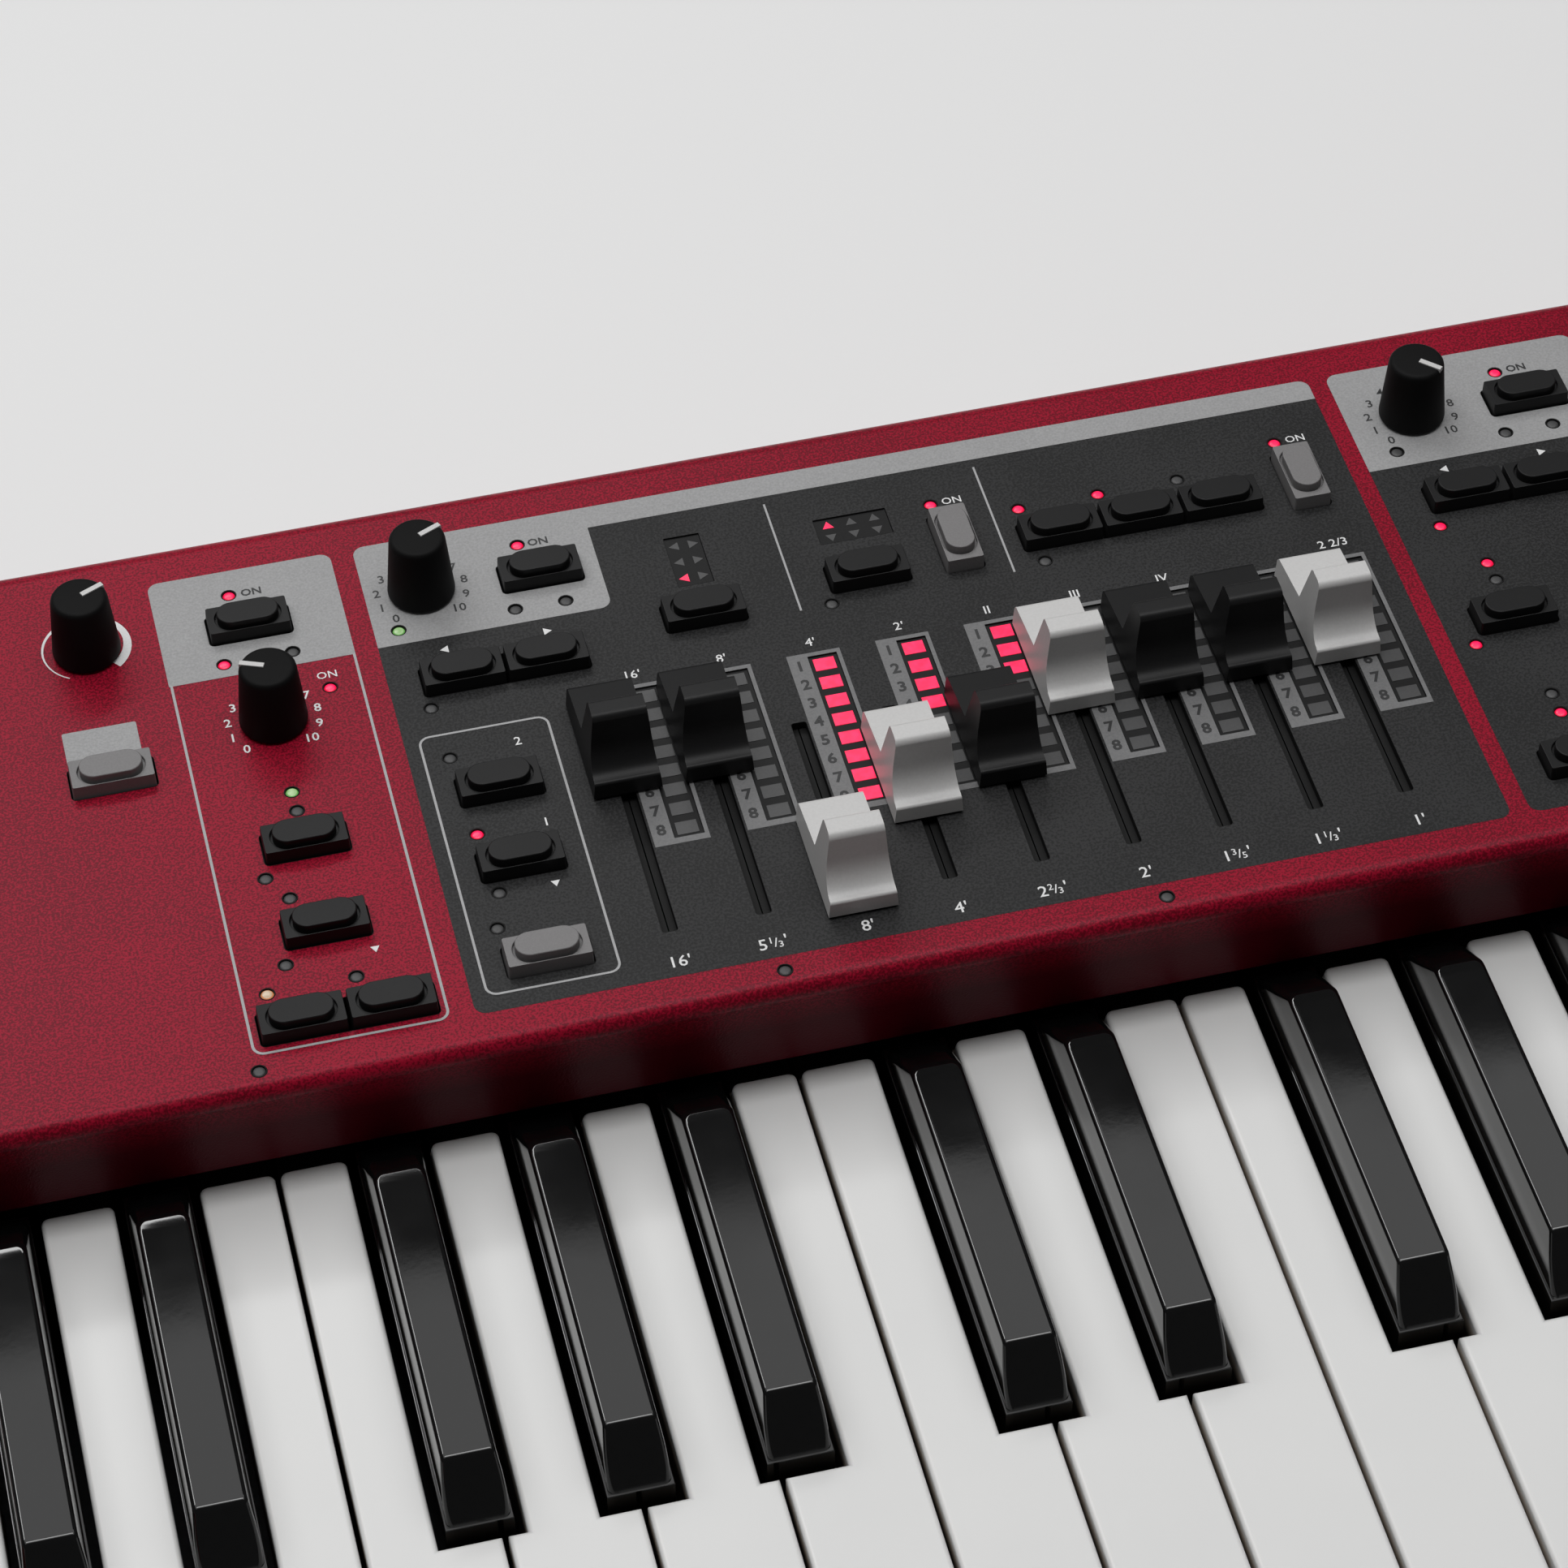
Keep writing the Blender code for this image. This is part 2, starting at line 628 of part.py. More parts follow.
def bank_outline(row, margin):
    """The rectangle round a row of buttons, with a margin."""
    half_width = BUTTON_WIDTH / 2 + margin
    half_depth = BUTTON_DEPTH / 2 + margin
    if row.upright:
        half_width, half_depth = half_depth, half_width
    run = (row.count - 1) * BUTTON_PITCH
    return Area(row.x - half_width, row.y - half_depth, row.x + run + half_width, row.y + half_depth)


def panel_banks():
    """Every row of buttons that shares a hole in the panel."""
    rows = [row for _, banks in KEY_MATS.values() for row in banks.values()]
    rows.append(SINGLE_BUTTONS["slow_button"]._replace(count=2))
    return rows + [row for name, row in SINGLE_BUTTONS.items() if name not in BLACK_BUTTONS]


def panel_cutters():
    """All openings of the top panel in one mesh."""
    low = PANEL_UNDERSIDE - SHEET
    high = PANEL_LEVEL + SHEET
    mesh = bmesh.new()
    for number in range(len(DRAWBAR_SETTINGS)):
        x = DRAWBAR_FIRST + number * DRAWBAR_PITCH
        half = STEM_WIDTH / 2 + SLOT_CLEARANCE
        add_box(mesh, at(x - half, DRAWBAR_SLOT_Y, low),
                at(x + half, DRAWBAR_SLOT_Y + DRAWBAR_SLOT_LENGTH, high))
    for x, y, _ in KNOBS.values():
        add_cylinder(mesh, at(x, y).xy, KNOB_SHAFT_RADIUS + RUN, low, high, SOCKET_SIDES)
    for row in panel_banks():
        hole = bank_outline(row, BUTTON_GAP)
        add_box(mesh, at(hole.low_x, hole.low_y, low), at(hole.high_x, hole.high_y, high))
    add_box(mesh, at(DISPLAY.low_x - SEAT, DISPLAY.low_y - SEAT, low),
            at(DISPLAY.high_x + SEAT, DISPLAY.high_y + SEAT, high))
    return make_object("panel_openings", mesh, "red_powder_coat")


def make_top_panel():
    """The folded top sheet: hem, leaning fascia, rolled front bend, flat top and rolled rear edge."""
    fascia = WHITE_LEVEL + FASCIA_RISE
    foot_y = KEY_END_Y - FASCIA_FORWARD
    path = [(KEY_END_Y + FASCIA_HEM, fascia), (foot_y, fascia), (foot_y - FASCIA_LEAN, PANEL_LEVEL),
            (BACK_Y, PANEL_LEVEL), (BACK_Y, PANEL_LEVEL - BACK_FLANGE)]
    outline = folded_sheet(path, (SHEET + SEAT, PANEL_FRONT_RADIUS, PANEL_BACK_RADIUS), -1)
    panel = make_object("top_panel", extruded(outline, -PANEL_HALF, PANEL_HALF), "red_powder_coat")
    combine(panel, panel_cutters(), "DIFFERENCE")
    keep_flats_flat(panel)


def socket_height():
    """Height of the connectors' centres on the rear wall."""
    return TRAY_TOP + MAIN_BOARD_LIFT + BOARD + JACK_HEIGHT / 2


def along(centre):
    """World x of a connector on the layout grid."""
    return LAYOUT_X + centre * GRID


def rear_openings(grow, low_y, high_y):
    """The outlines of all rear connectors as one mesh; grow widens each of them."""
    mesh = bmesh.new()
    z = socket_height()
    for centre in JACKS.values():
        add_cylinder(mesh, (along(centre), z), JACK_COLLAR / 2 + grow, low_y, high_y, SOCKET_SIDES, "Y")
    for centre in ROUND_SOCKETS.values():
        add_cylinder(mesh, (along(centre), z), ROUND_SOCKET_COLLAR / 2 + grow, low_y, high_y,
                     SOCKET_SIDES, "Y")
    for centre, (width, height) in ((DATA_SOCKET_AT, DATA_SOCKET), (POWER_INLET_AT, POWER_INLET)):
        add_box(mesh, (along(centre) - width / 2 - grow, low_y, z - height / 2 - grow),
                (along(centre) + width / 2 + grow, high_y, z + height / 2 + grow))
    return mesh


def make_bottom_tray():
    """The folded tray: key slip with its return, floor, and rear wall that steps in behind the panel."""
    inset = SHEET + SEAT
    step = PANEL_LEVEL - BACK_FLANGE - SEAT
    slip_top = WHITE_LEVEL - SLIP_BELOW_KEYS
    path = [(FRONT_Y + SLIP_DEPTH - SLIP_KEY_GAP, slip_top), (FRONT_Y, slip_top), (FRONT_Y, FOOT_HEIGHT),
            (BACK_Y, FOOT_HEIGHT), (BACK_Y, step - JOGGLE), (BACK_Y - inset, step),
            (BACK_Y - inset, PANEL_LEVEL - PANEL_BACK_RADIUS)]
    radii = (TRAY_RADIUS, TRAY_RADIUS, TRAY_RADIUS, SHEET + SEAT, SEAT)
    tray = make_object("bottom_tray", extruded(folded_sheet(path, radii, 1), -PANEL_HALF, PANEL_HALF),
                       "red_powder_coat")
    cutter = make_object("rear_wall_openings", rear_openings(SEAT, BACK_Y - 2 * SHEET, BACK_Y + SHEET),
                         "chassis_steel")
    combine(tray, cutter, "DIFFERENCE")
    keep_flats_flat(tray)


def make_cheeks():
    """The end cheeks: low beside the keys, rising to the panel, with rounded outer edges."""
    step_y = KEY_END_Y - FASCIA_FORWARD - FASCIA_LEAN - CHEEK_STEP
    shoulder = WHITE_LEVEL + CHEEK_RISE
    corners = [(FRONT_Y, FOOT_HEIGHT), (FRONT_Y, shoulder), (step_y, shoulder),
               (step_y + CHEEK_STEP, PANEL_LEVEL), (BACK_Y, PANEL_LEVEL), (BACK_Y, FOOT_HEIGHT)]
    radii = (TRAY_RADIUS, CHEEK_NOSE_RADIUS, CHEEK_STEP_RADIUS, PANEL_FRONT_RADIUS, PANEL_BACK_RADIUS,
             TRAY_RADIUS)
    outline = rounded_outline(corners, radii)
    inner = KEYS_HALF + CHEEK_KEY_GAP
    for name, sign in (("left_cheek", -1), ("right_cheek", 1)):
        low_x, high_x = sorted((sign * inner, sign * (inner + CHEEK_WIDTH)))
        mesh = extruded(outline, low_x, high_x)
        outer = face_towards(mesh, 0, sign)[0]
        bevel(mesh, list(outer.edges), CHEEK_EDGE, 2)
        make_object(name, mesh, "red_lacquered_wood")


def make_feet():
    """Four turned rubber feet under the tray."""
    profile = [(0, 0), (FOOT_RADIUS - FOOT_TAPER, 0), (FOOT_RADIUS, FOOT_HEIGHT - SEAT),
               (0, FOOT_HEIGHT - SEAT)]
    for y_name, y in (("front", FRONT_Y + FOOT_INSET_Y), ("back", BACK_Y - FOOT_INSET_Y)):
        for x_name, sign in (("left", -1), ("right", 1)):
            x = sign * (PANEL_HALF - FOOT_INSET_X)
            make_object(f"foot_{y_name}_{x_name}", turned(profile, KNOB_SIDES), "black_rubber", (x, y, 0))


# Controls

def drawbar_outline():
    """Side view of a drawbar: lip, hollow front, tall block, valley and low rear ledge."""
    top = DRAWBAR_HEIGHT
    edge = DRAWBAR_EDGE
    lip_end = DRAWBAR_LIP + edge
    hollow = [(edge + (DRAWBAR_HOLLOW - edge) * math.sin(angle),
               lip_end + DRAWBAR_HOLLOW_RISE * (1 - math.cos(angle)))
              for angle in (math.radians(step) for step in (30, 60, 90))]
    block_end = DRAWBAR_HOLLOW + DRAWBAR_BLOCK
    ledge = DRAWBAR_LEDGE_HEIGHT
    return [(0, DRAWBAR_LIFT), (0, DRAWBAR_LIP), (edge, lip_end), *hollow,
            (DRAWBAR_HOLLOW + edge / 3, top - 2 * edge), (DRAWBAR_HOLLOW + 2 * edge, top - edge / 2),
            (block_end - edge, top), (block_end, top - edge), (DRAWBAR_LEDGE, ledge),
            (DRAWBAR_DEPTH - 3 * edge, ledge - DRAWBAR_LEDGE_FALL),
            (DRAWBAR_DEPTH - edge, ledge - DRAWBAR_LEDGE_FALL - edge), (DRAWBAR_DEPTH, DRAWBAR_LIFT)]


def make_drawbar(number, setting):
    """One drawbar knob with its stem, at its setting in the slot."""
    mesh = extruded(drawbar_outline(), -0.5, 0.5)
    for vert in mesh.verts:
        vert.co.x *= DRAWBAR_WIDTH - 2 * DRAWBAR_DRAFT * vert.co.z
    mesh.normal_update()
    sides = [face for face in mesh.faces if abs(face.normal.x) > 0.9]
    bevel(mesh, list({edge for face in sides for edge in face.edges}), DRAWBAR_EDGE, 2)
    colour = "black_control_plastic" if number in BLACK_DRAWBARS else "white_drawbar_plastic"
    place = at(DRAWBAR_FIRST + number * DRAWBAR_PITCH, DRAWBAR_LIP_BACK - setting * DRAWBAR_STEP)
    knob = make_object(f"drawbar_{number + 1}", mesh, colour, place)
    stem = bmesh.new()
    add_box(stem, (-STEM_WIDTH / 2, STEM_SETBACK, -STEM_DROP),
            (STEM_WIDTH / 2, STEM_SETBACK + STEM_LENGTH, DRAWBAR_LIP))
    combine(knob, make_object(f"drawbar_{number + 1}_stem", stem, colour, place), "UNION")


def make_knob(name, x, y, pointer):
    """A tapered knob on its shaft, with a raised pointer from near the centre to the rim."""
    profile = [(0, -KNOB_SHAFT_DROP), (KNOB_SHAFT_RADIUS, -KNOB_SHAFT_DROP), (KNOB_SHAFT_RADIUS, KNOB_LIFT),
               (KNOB_RADIUS, KNOB_LIFT), (KNOB_TOP_RADIUS, KNOB_HEIGHT - KNOB_EDGE),
               (KNOB_TOP_RADIUS - KNOB_EDGE, KNOB_HEIGHT), (0, KNOB_HEIGHT)]
    turn = math.radians(pointer)
    cap = make_object(name, turned(profile, KNOB_SIDES), "black_control_plastic", at(x, y), turn)
    rib = bmesh.new()
    add_box(rib, (POINTER_START, -POINTER_WIDTH / 2, KNOB_HEIGHT - KNOB_EDGE),
            (KNOB_TOP_RADIUS - KNOB_EDGE / 2, POINTER_WIDTH / 2, KNOB_HEIGHT + POINTER_RISE))
    combine(cap, make_object(name + "_pointer", rib, "white_drawbar_plastic", at(x, y), turn), "UNION")


def oval(mesh, grow, height):
    """Verts of a button's oval outline, two half circles and straight sides, grown by a margin."""
    radius = OVAL_DEPTH / 2 + grow
    reach = (OVAL_LENGTH - OVAL_DEPTH) / 2
    verts = []
    for centre, start in ((reach, -90), (-reach, 90)):
        for step in range(OVAL_STEPS + 1):
            angle = math.radians(start + 180 * step / OVAL_STEPS)
            x = centre + radius * math.cos(angle)
            verts.append(mesh.verts.new((x, radius * math.sin(angle), height)))
    return verts


def button_mesh(sink, upright=False):
    """A button: a drafted block whose top has a moat, with the raised oval standing in it."""
    mesh = bmesh.new()
    add_box(mesh, (-BUTTON_WIDTH / 2, -BUTTON_DEPTH / 2, -sink),
            (BUTTON_WIDTH / 2, BUTTON_DEPTH / 2, BUTTON_HEIGHT))
    for vert in mesh.verts:
        if vert.co.z > 0:
            vert.co.x -= math.copysign(BUTTON_DRAFT, vert.co.x)
            vert.co.y -= math.copysign(BUTTON_DRAFT, vert.co.y)
    mesh.normal_update()
    top = face_towards(mesh, 2, 1)[0]
    border = list(top.edges)
    mesh.faces.remove(top)
    rings = [oval(mesh, MOAT_WIDTH, BUTTON_HEIGHT), oval(mesh, 0, BUTTON_HEIGHT - MOAT_DEPTH),
             oval(mesh, -OVAL_DRAFT, BUTTON_HEIGHT + OVAL_RISE)]
    loops = [[mesh.edges.new(pair) for pair in zip(ring, ring[1:] + ring[:1])] for ring in rings]
    bmesh.ops.triangle_fill(mesh, edges=border + loops[0], use_beauty=True)
    inside = [face for face in mesh.faces if all(vert in rings[0] for vert in face.verts)]
    bmesh.ops.delete(mesh, geom=inside, context="FACES_ONLY")
    for outer, inner in zip(loops, loops[1:]):
        bmesh.ops.bridge_loops(mesh, edges=outer + inner)
    mesh.faces.new(rings[-1])
    if upright:
        bmesh.ops.rotate(mesh, verts=mesh.verts, matrix=Matrix.Rotation(math.radians(90), 3, "Z"))
    bmesh.ops.recalc_face_normals(mesh, faces=mesh.faces)
    return mesh


def make_single_buttons():
    """The buttons that are pieces of their own; the grey ones stand out from the black."""
    for name, row in SINGLE_BUTTONS.items():
        colour = "black_control_plastic" if name in BLACK_BUTTONS else "grey_button_plastic"
        make_object(name, button_mesh(BUTTON_SINK, row.upright), colour, at(row.x, row.y))


def make_key_mats():
    """One moulded mat for each section: a thin sheet under the panel with its buttons standing on it."""
    top = -SHEET - SEAT
    low = top - MAT_SHEET
    for name, (areas, rows) in KEY_MATS.items():
        plates = [bmesh.new() for _ in areas]
        for plate, side in zip(plates, areas):
            add_box(plate, (side.low_x, side.low_y, low), (side.high_x, side.high_y, top))
        mat = make_object(name, plates[0], "black_rubber", at(0, 0))
        for number, plate in enumerate(plates[1:], start=2):
            combine(mat, make_object(f"{name}_plate_{number}", plate, "black_rubber", at(0, 0)), "UNION")
        clearance = bmesh.new()
        for x, y, _ in KNOBS.values():
            add_cylinder(clearance, (x, y), KNOB_SHAFT_RADIUS + MAT_MARGIN, low - MAT_SHEET, 0, 8)
        for row in SINGLE_BUTTONS.values():
            hole = bank_outline(row, MAT_MARGIN)
            add_box(clearance, (hole.low_x, hole.low_y, low - MAT_SHEET), (hole.high_x, hole.high_y, 0))
        combine(mat, make_object(name + "_clearance", clearance, "black_rubber", at(0, 0)), "DIFFERENCE")
        blocks = bmesh.new()
        shape = bpy.data.meshes.new("button")
        model = button_mesh(MAT_SHEET / 2 - top)
        model.to_mesh(shape)
        model.free()
        for row in rows.values():
            for count in range(row.count):
                first = len(blocks.verts)
                blocks.from_mesh(shape)
                blocks.verts.ensure_lookup_table()
                bmesh.ops.translate(blocks, verts=blocks.verts[first:],
                                    vec=(row.x + count * BUTTON_PITCH, row.y, 0))
        combine(mat, make_object(name + "_buttons", blocks, "black_control_plastic", at(0, 0)), "UNION")


def make_display():
    """The display window, set in its cut-out a little proud of the panel."""
    mesh = bmesh.new()
    add_box(mesh, at(DISPLAY.low_x, DISPLAY.low_y, PANEL_UNDERSIDE),
            at(DISPLAY.high_x, DISPLAY.high_y, PANEL_LEVEL + DISPLAY_RISE))
    bevel(mesh, list(face_towards(mesh, 2, 1)[0].edges), DISPLAY_RISE / 2, 1)
    make_object("display_window", mesh, "display_acrylic")


# Inside

def make_panel_board():
    """The board under the panel: faders, potentiometers, switches, and posts up to the panel."""
    mesh = bmesh.new()
    margin = 2 * POST_SIZE
    left = -PANEL_HALF - LAYOUT_X + margin
    right = PANEL_HALF - LAYOUT_X - margin
    back = PANEL_DEPTH - margin
    add_box(mesh, at(left, FASCIA_HEM / 2, BOARD_TOP - BOARD), at(right, back, BOARD_TOP))
    board = make_object("panel_board", mesh, "circuit_board")
    parts = bmesh.new()
    low = BOARD_TOP - BOARD / 2
    faders = [DRAWBAR_FIRST + number * DRAWBAR_PITCH for number in range(len(DRAWBAR_SETTINGS))]
    slot_end = DRAWBAR_SLOT_Y + DRAWBAR_SLOT_LENGTH
    fader_top = BOARD_TOP + FADER_HEIGHT
    for x in faders:
        add_box(parts, at(x - FADER_WIDTH / 2, DRAWBAR_SLOT_Y - FADER_MARGIN, low),
                at(x + FADER_WIDTH / 2, slot_end + FADER_MARGIN, fader_top))
    columns = [(x, y, POT_SIZE, PANEL_LEVEL - KNOB_SHAFT_DROP - SEAT) for x, y, _ in KNOBS.values()]
    columns += [(row.x, row.y, SWITCH_SIZE, PANEL_LEVEL - BUTTON_SINK - SWITCH_GAP)
                for row in SINGLE_BUTTONS.values()]
    for step in range(POST_COUNT):
        x = left + POST_SIZE + step / (POST_COUNT - 1) * (right - left - 2 * POST_SIZE)
        columns.append((x, back - POST_SIZE, POST_SIZE, PANEL_UNDERSIDE - SEAT))
    for x, y, size, high in columns:
        add_box(parts, at(x - size / 2, y - size / 2, low), at(x + size / 2, y + size / 2, high))
    combine(board, make_object("panel_board_parts", parts, "black_control_plastic"), "UNION")
    grooves = bmesh.new()
    for x in faders:
        add_box(grooves, at(x - FADER_GROOVE / 2, DRAWBAR_SLOT_Y, fader_top - FADER_GROOVE_DEPTH),
                at(x + FADER_GROOVE / 2, slot_end, fader_top + SHEET))
    combine(board, make_object("fader_grooves", grooves, "black_control_plastic"), "DIFFERENCE")


def socket_bores():
    """The round and square bores of the rear sockets, open to the back."""
    z = socket_height()
    mesh = bmesh.new()
    for centre in JACKS.values():
        add_cylinder(mesh, (along(centre), z), JACK_BORE / 2, BACK_Y - JACK_BORE_DEPTH, BACK_Y + SHEET,
                     SOCKET_SIDES, "Y")
    for centre in ROUND_SOCKETS.values():
        add_cylinder(mesh, (along(centre), z), ROUND_SOCKET_BORE / 2, BACK_Y - ROUND_SOCKET_BORE_DEPTH,
                     BACK_Y + SHEET, SOCKET_SIDES, "Y")
    for centre, (width, height), depth in ((DATA_SOCKET_AT, DATA_SOCKET_BORE, DATA_SOCKET_BORE_DEPTH),
                                           (POWER_INLET_AT, POWER_INLET_BORE, POWER_INLET_BORE_DEPTH)):
        add_box(mesh, (along(centre) - width / 2, BACK_Y - depth, z - height / 2),
                (along(centre) + width / 2, BACK_Y + SHEET, z + height / 2))
    return mesh


def make_main_board():
    """The main board at the back: the sockets that show through the rear wall, on posts to the tray."""
    z = socket_height()
    wall = BACK_Y - SHEET - SEAT
    front = KEY_BED_END_Y + MAIN_BOARD_GAP
    board_low = TRAY_TOP + MAIN_BOARD_LIFT
    left = along(min(JACKS.values())) - JACK_WIDTH
    right = along(POWER_INLET_AT) + POWER_INLET[0]
    mesh = bmesh.new()
    add_box(mesh, (left, front, board_low), (right, wall, board_low + BOARD))
    board = make_object("main_board", mesh, "circuit_board")
    bodies = bmesh.new()
    low = board_low + BOARD / 2
    sizes = [(centre, JACK_WIDTH, JACK_HEIGHT, JACK_DEPTH) for centre in JACKS.values()]
    sizes += [(centre, ROUND_SOCKET_WIDTH, ROUND_SOCKET_WIDTH, ROUND_SOCKET_DEPTH)
              for centre in ROUND_SOCKETS.values()]
    sizes += [(DATA_SOCKET_AT, DATA_SOCKET[0] + SHEET, DATA_SOCKET[1] + SHEET, DATA_SOCKET_DEPTH),
              (POWER_INLET_AT, POWER_INLET[0] + 2 * SHEET, POWER_INLET[1] + 2 * SHEET, POWER_INLET_DEPTH)]
    for centre, width, height, depth in sizes:
        add_box(bodies, (along(centre) - width / 2, wall - depth, min(low, z - height / 2)),
                (along(centre) + width / 2, wall, z + height / 2))
    for x in (left + POST_SIZE, (left + right) / 2, right - POST_SIZE):
        add_box(bodies, (x - POST_SIZE / 2, front, TRAY_TOP + SEAT),
                (x + POST_SIZE / 2, front + POST_SIZE, low))
    combine(board, make_object("socket_bodies", bodies, "black_control_plastic"), "UNION")
    collars = rear_openings(0, wall - SHEET, BACK_Y - SEAT)
    combine(board, make_object("socket_collars", collars, "chassis_steel"), "UNION")
    combine(board, make_object("socket_bores", socket_bores(), "black_control_plastic"), "DIFFERENCE")


clear_scene()
make_top_panel()
make_bottom_tray()
make_cheeks()
make_feet()
make_keys()
for slot, drawn in enumerate(DRAWBAR_SETTINGS):
    make_drawbar(slot, drawn)
for knob_name, (knob_x, knob_y, knob_pointer) in KNOBS.items():
    make_knob(knob_name, knob_x, knob_y, knob_pointer)
make_single_buttons()
make_key_mats()
make_display()
make_panel_board()
make_main_board()
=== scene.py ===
# %% [markdown]
# A stage piano seen from above its bass end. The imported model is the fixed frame: its nodes are in the
# right place and of the right size, so every new piece and finish here is set against them. The nodes
# are plain and faceted. The pieces that take their place have the same forms with round edges, fine
# folds and the small parts that a close look shows.

# %% Load the frame
import json
import math

import bmesh
import bpy
from mathutils import Matrix, Vector


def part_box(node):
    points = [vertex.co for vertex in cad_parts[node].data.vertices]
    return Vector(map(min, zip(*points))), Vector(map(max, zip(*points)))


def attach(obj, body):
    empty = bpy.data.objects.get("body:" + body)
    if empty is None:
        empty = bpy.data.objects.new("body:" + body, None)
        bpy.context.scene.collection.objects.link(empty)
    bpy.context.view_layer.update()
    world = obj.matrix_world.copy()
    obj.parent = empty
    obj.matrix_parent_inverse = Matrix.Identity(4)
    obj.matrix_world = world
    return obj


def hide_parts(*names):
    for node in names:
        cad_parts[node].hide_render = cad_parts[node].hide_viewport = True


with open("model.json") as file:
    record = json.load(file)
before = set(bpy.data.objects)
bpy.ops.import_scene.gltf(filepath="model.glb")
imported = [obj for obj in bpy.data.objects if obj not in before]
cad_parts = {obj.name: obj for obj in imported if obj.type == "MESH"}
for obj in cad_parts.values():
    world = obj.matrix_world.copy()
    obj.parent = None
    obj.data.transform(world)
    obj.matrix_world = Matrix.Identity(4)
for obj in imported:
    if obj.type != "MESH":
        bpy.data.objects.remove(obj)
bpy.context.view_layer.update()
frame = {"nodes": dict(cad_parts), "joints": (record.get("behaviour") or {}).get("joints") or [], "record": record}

nodes = frame["nodes"]

# %% [markdown]
# The photograph was taken with a long lens from above the player's left shoulder. Its place was worked
# out from the edges of the white keys, which repeat every 23.5 mm, so the camera is given by its place
# and its directions to the right and up. The third direction, towards the back, follows from them.

# %% The camera
CAMERA_PLACE = Vector((-0.38896, -0.56031, 0.74377))
CAMERA_RIGHT = Vector((0.97137, -0.23715, -0.01407))
CAMERA_UP = Vector((0.18134, 0.70190, 0.68881))
CAMERA_LENS = 115.44
FILM = 36

lens = bpy.data.cameras.new("camera")
lens.lens = CAMERA_LENS
lens.sensor_width = FILM
lens.clip_start = 0.01
camera = bpy.data.objects.new("camera", lens)
turn = Matrix((CAMERA_RIGHT, CAMERA_UP, CAMERA_RIGHT.cross(CAMERA_UP))).transposed()
camera.matrix_world = Matrix.Translation(CAMERA_PLACE) @ turn.to_4x4()
bpy.context.collection.objects.link(camera)
bpy.context.scene.camera = camera
print("camera:", round((CAMERA_PLACE - Vector((-0.35, 0.05, 0.08))).length, 3), "m from the panel")

# %% [markdown]
# The room is a plain pale floor under soft studio light. One wide lamp hangs over the instrument and
# reaches back to where the black keys mirror it, and a narrow one over the keys keeps their rear ends
# bright. A long low lamp behind the bass end gives the panel there its grey sheen, and a thin one above
# it draws the bright line along the rear rims of the black keys. The world adds a little light from all round, so that no
# side is lost. The floor is pale to the camera and in mirrors, but throws less light back, so that the
# fronts of dark pieces stay dark.

# %% The floor
FLOOR_SIZE = 8
FLOOR_PALE = (0.78, 0.78, 0.78, 1)
FLOOR_DULL = (0.32, 0.32, 0.32, 1)

bpy.context.scene.view_settings.view_transform = "Standard"
for item in bpy.context.selected_objects:
    item.select_set(False)
bpy.ops.mesh.primitive_plane_add(size=FLOOR_SIZE, location=(0, 0, 0))
floor = bpy.context.object
floor.name = "floor"
floor_finish = bpy.data.materials.new("floor")
floor_finish.use_nodes = True
floor_nodes, floor_links = floor_finish.node_tree.nodes, floor_finish.node_tree.links
ray = floor_nodes.new("ShaderNodeLightPath")
seen = None
for name in ("Is Camera Ray", "Is Glossy Ray", "Is Transmission Ray"):
    if seen is None:
        seen = ray.outputs[name]
        continue
    either = floor_nodes.new("ShaderNodeMath")
    either.operation = "MAXIMUM"
    floor_links.new(seen, either.inputs[0])
    floor_links.new(ray.outputs[name], either.inputs[1])
    seen = either.outputs[0]
floor_mix = floor_nodes.new("ShaderNodeMix")
floor_mix.data_type = "RGBA"
floor_links.new(seen, floor_mix.inputs[0])
floor_mix.inputs[6].default_value = FLOOR_DULL
floor_mix.inputs[7].default_value = FLOOR_PALE
floor_links.new(floor_mix.outputs[2], floor_nodes["Principled BSDF"].inputs["Base Color"])
floor_nodes["Principled BSDF"].inputs["Roughness"].default_value = 0.8
floor.data.materials.append(floor_finish)
print("floor:", FLOOR_SIZE, "m")

# %% The light
WORLD_GREY = (0.9, 0.9, 0.9, 1)
WORLD_STRENGTH = 0.10

world = bpy.data.worlds.new("studio")
world.use_nodes = True
world.node_tree.nodes["Background"].inputs["Color"].default_value = WORLD_GREY
world.node_tree.nodes["Background"].inputs["Strength"].default_value = WORLD_STRENGTH
bpy.context.scene.world = world


def studio_lamp(name, place, aim, size, glow):
    """A soft rectangular lamp at a place, turned to a point, with an even glow over its area."""
    data = bpy.data.lights.new(name, "AREA")
    data.shape = "RECTANGLE"
    data.size, data.size_y = size
    data.energy = glow * math.pi * size[0] * size[1]
    lamp = bpy.data.objects.new(name, data)
    direction = Vector(place) - Vector(aim)
    lamp.matrix_world = Matrix.Translation(place) @ direction.to_track_quat("Z", "Y").to_matrix().to_4x4()
    bpy.context.collection.objects.link(lamp)


studio_lamp("over_lamp", (-0.30, 0.38, 1.50), (-0.30, 0.3799, 0.0), (2.2, 1.43), 1.35)
studio_lamp("key_lamp", (-0.30, 0.03, 1.48), (-0.30, 0.0299, 0.0), (1.2, 0.28), 6.5)
studio_lamp("back_lamp", (-0.70, 1.36, 1.32), (-0.35, 0.05, 0.08), (1.5, 0.28), 1.5)
studio_lamp("rim_lamp", (-0.70, 1.26, 1.50), (-0.35, 0.0, 0.07), (1.5, 0.12), 12.0)

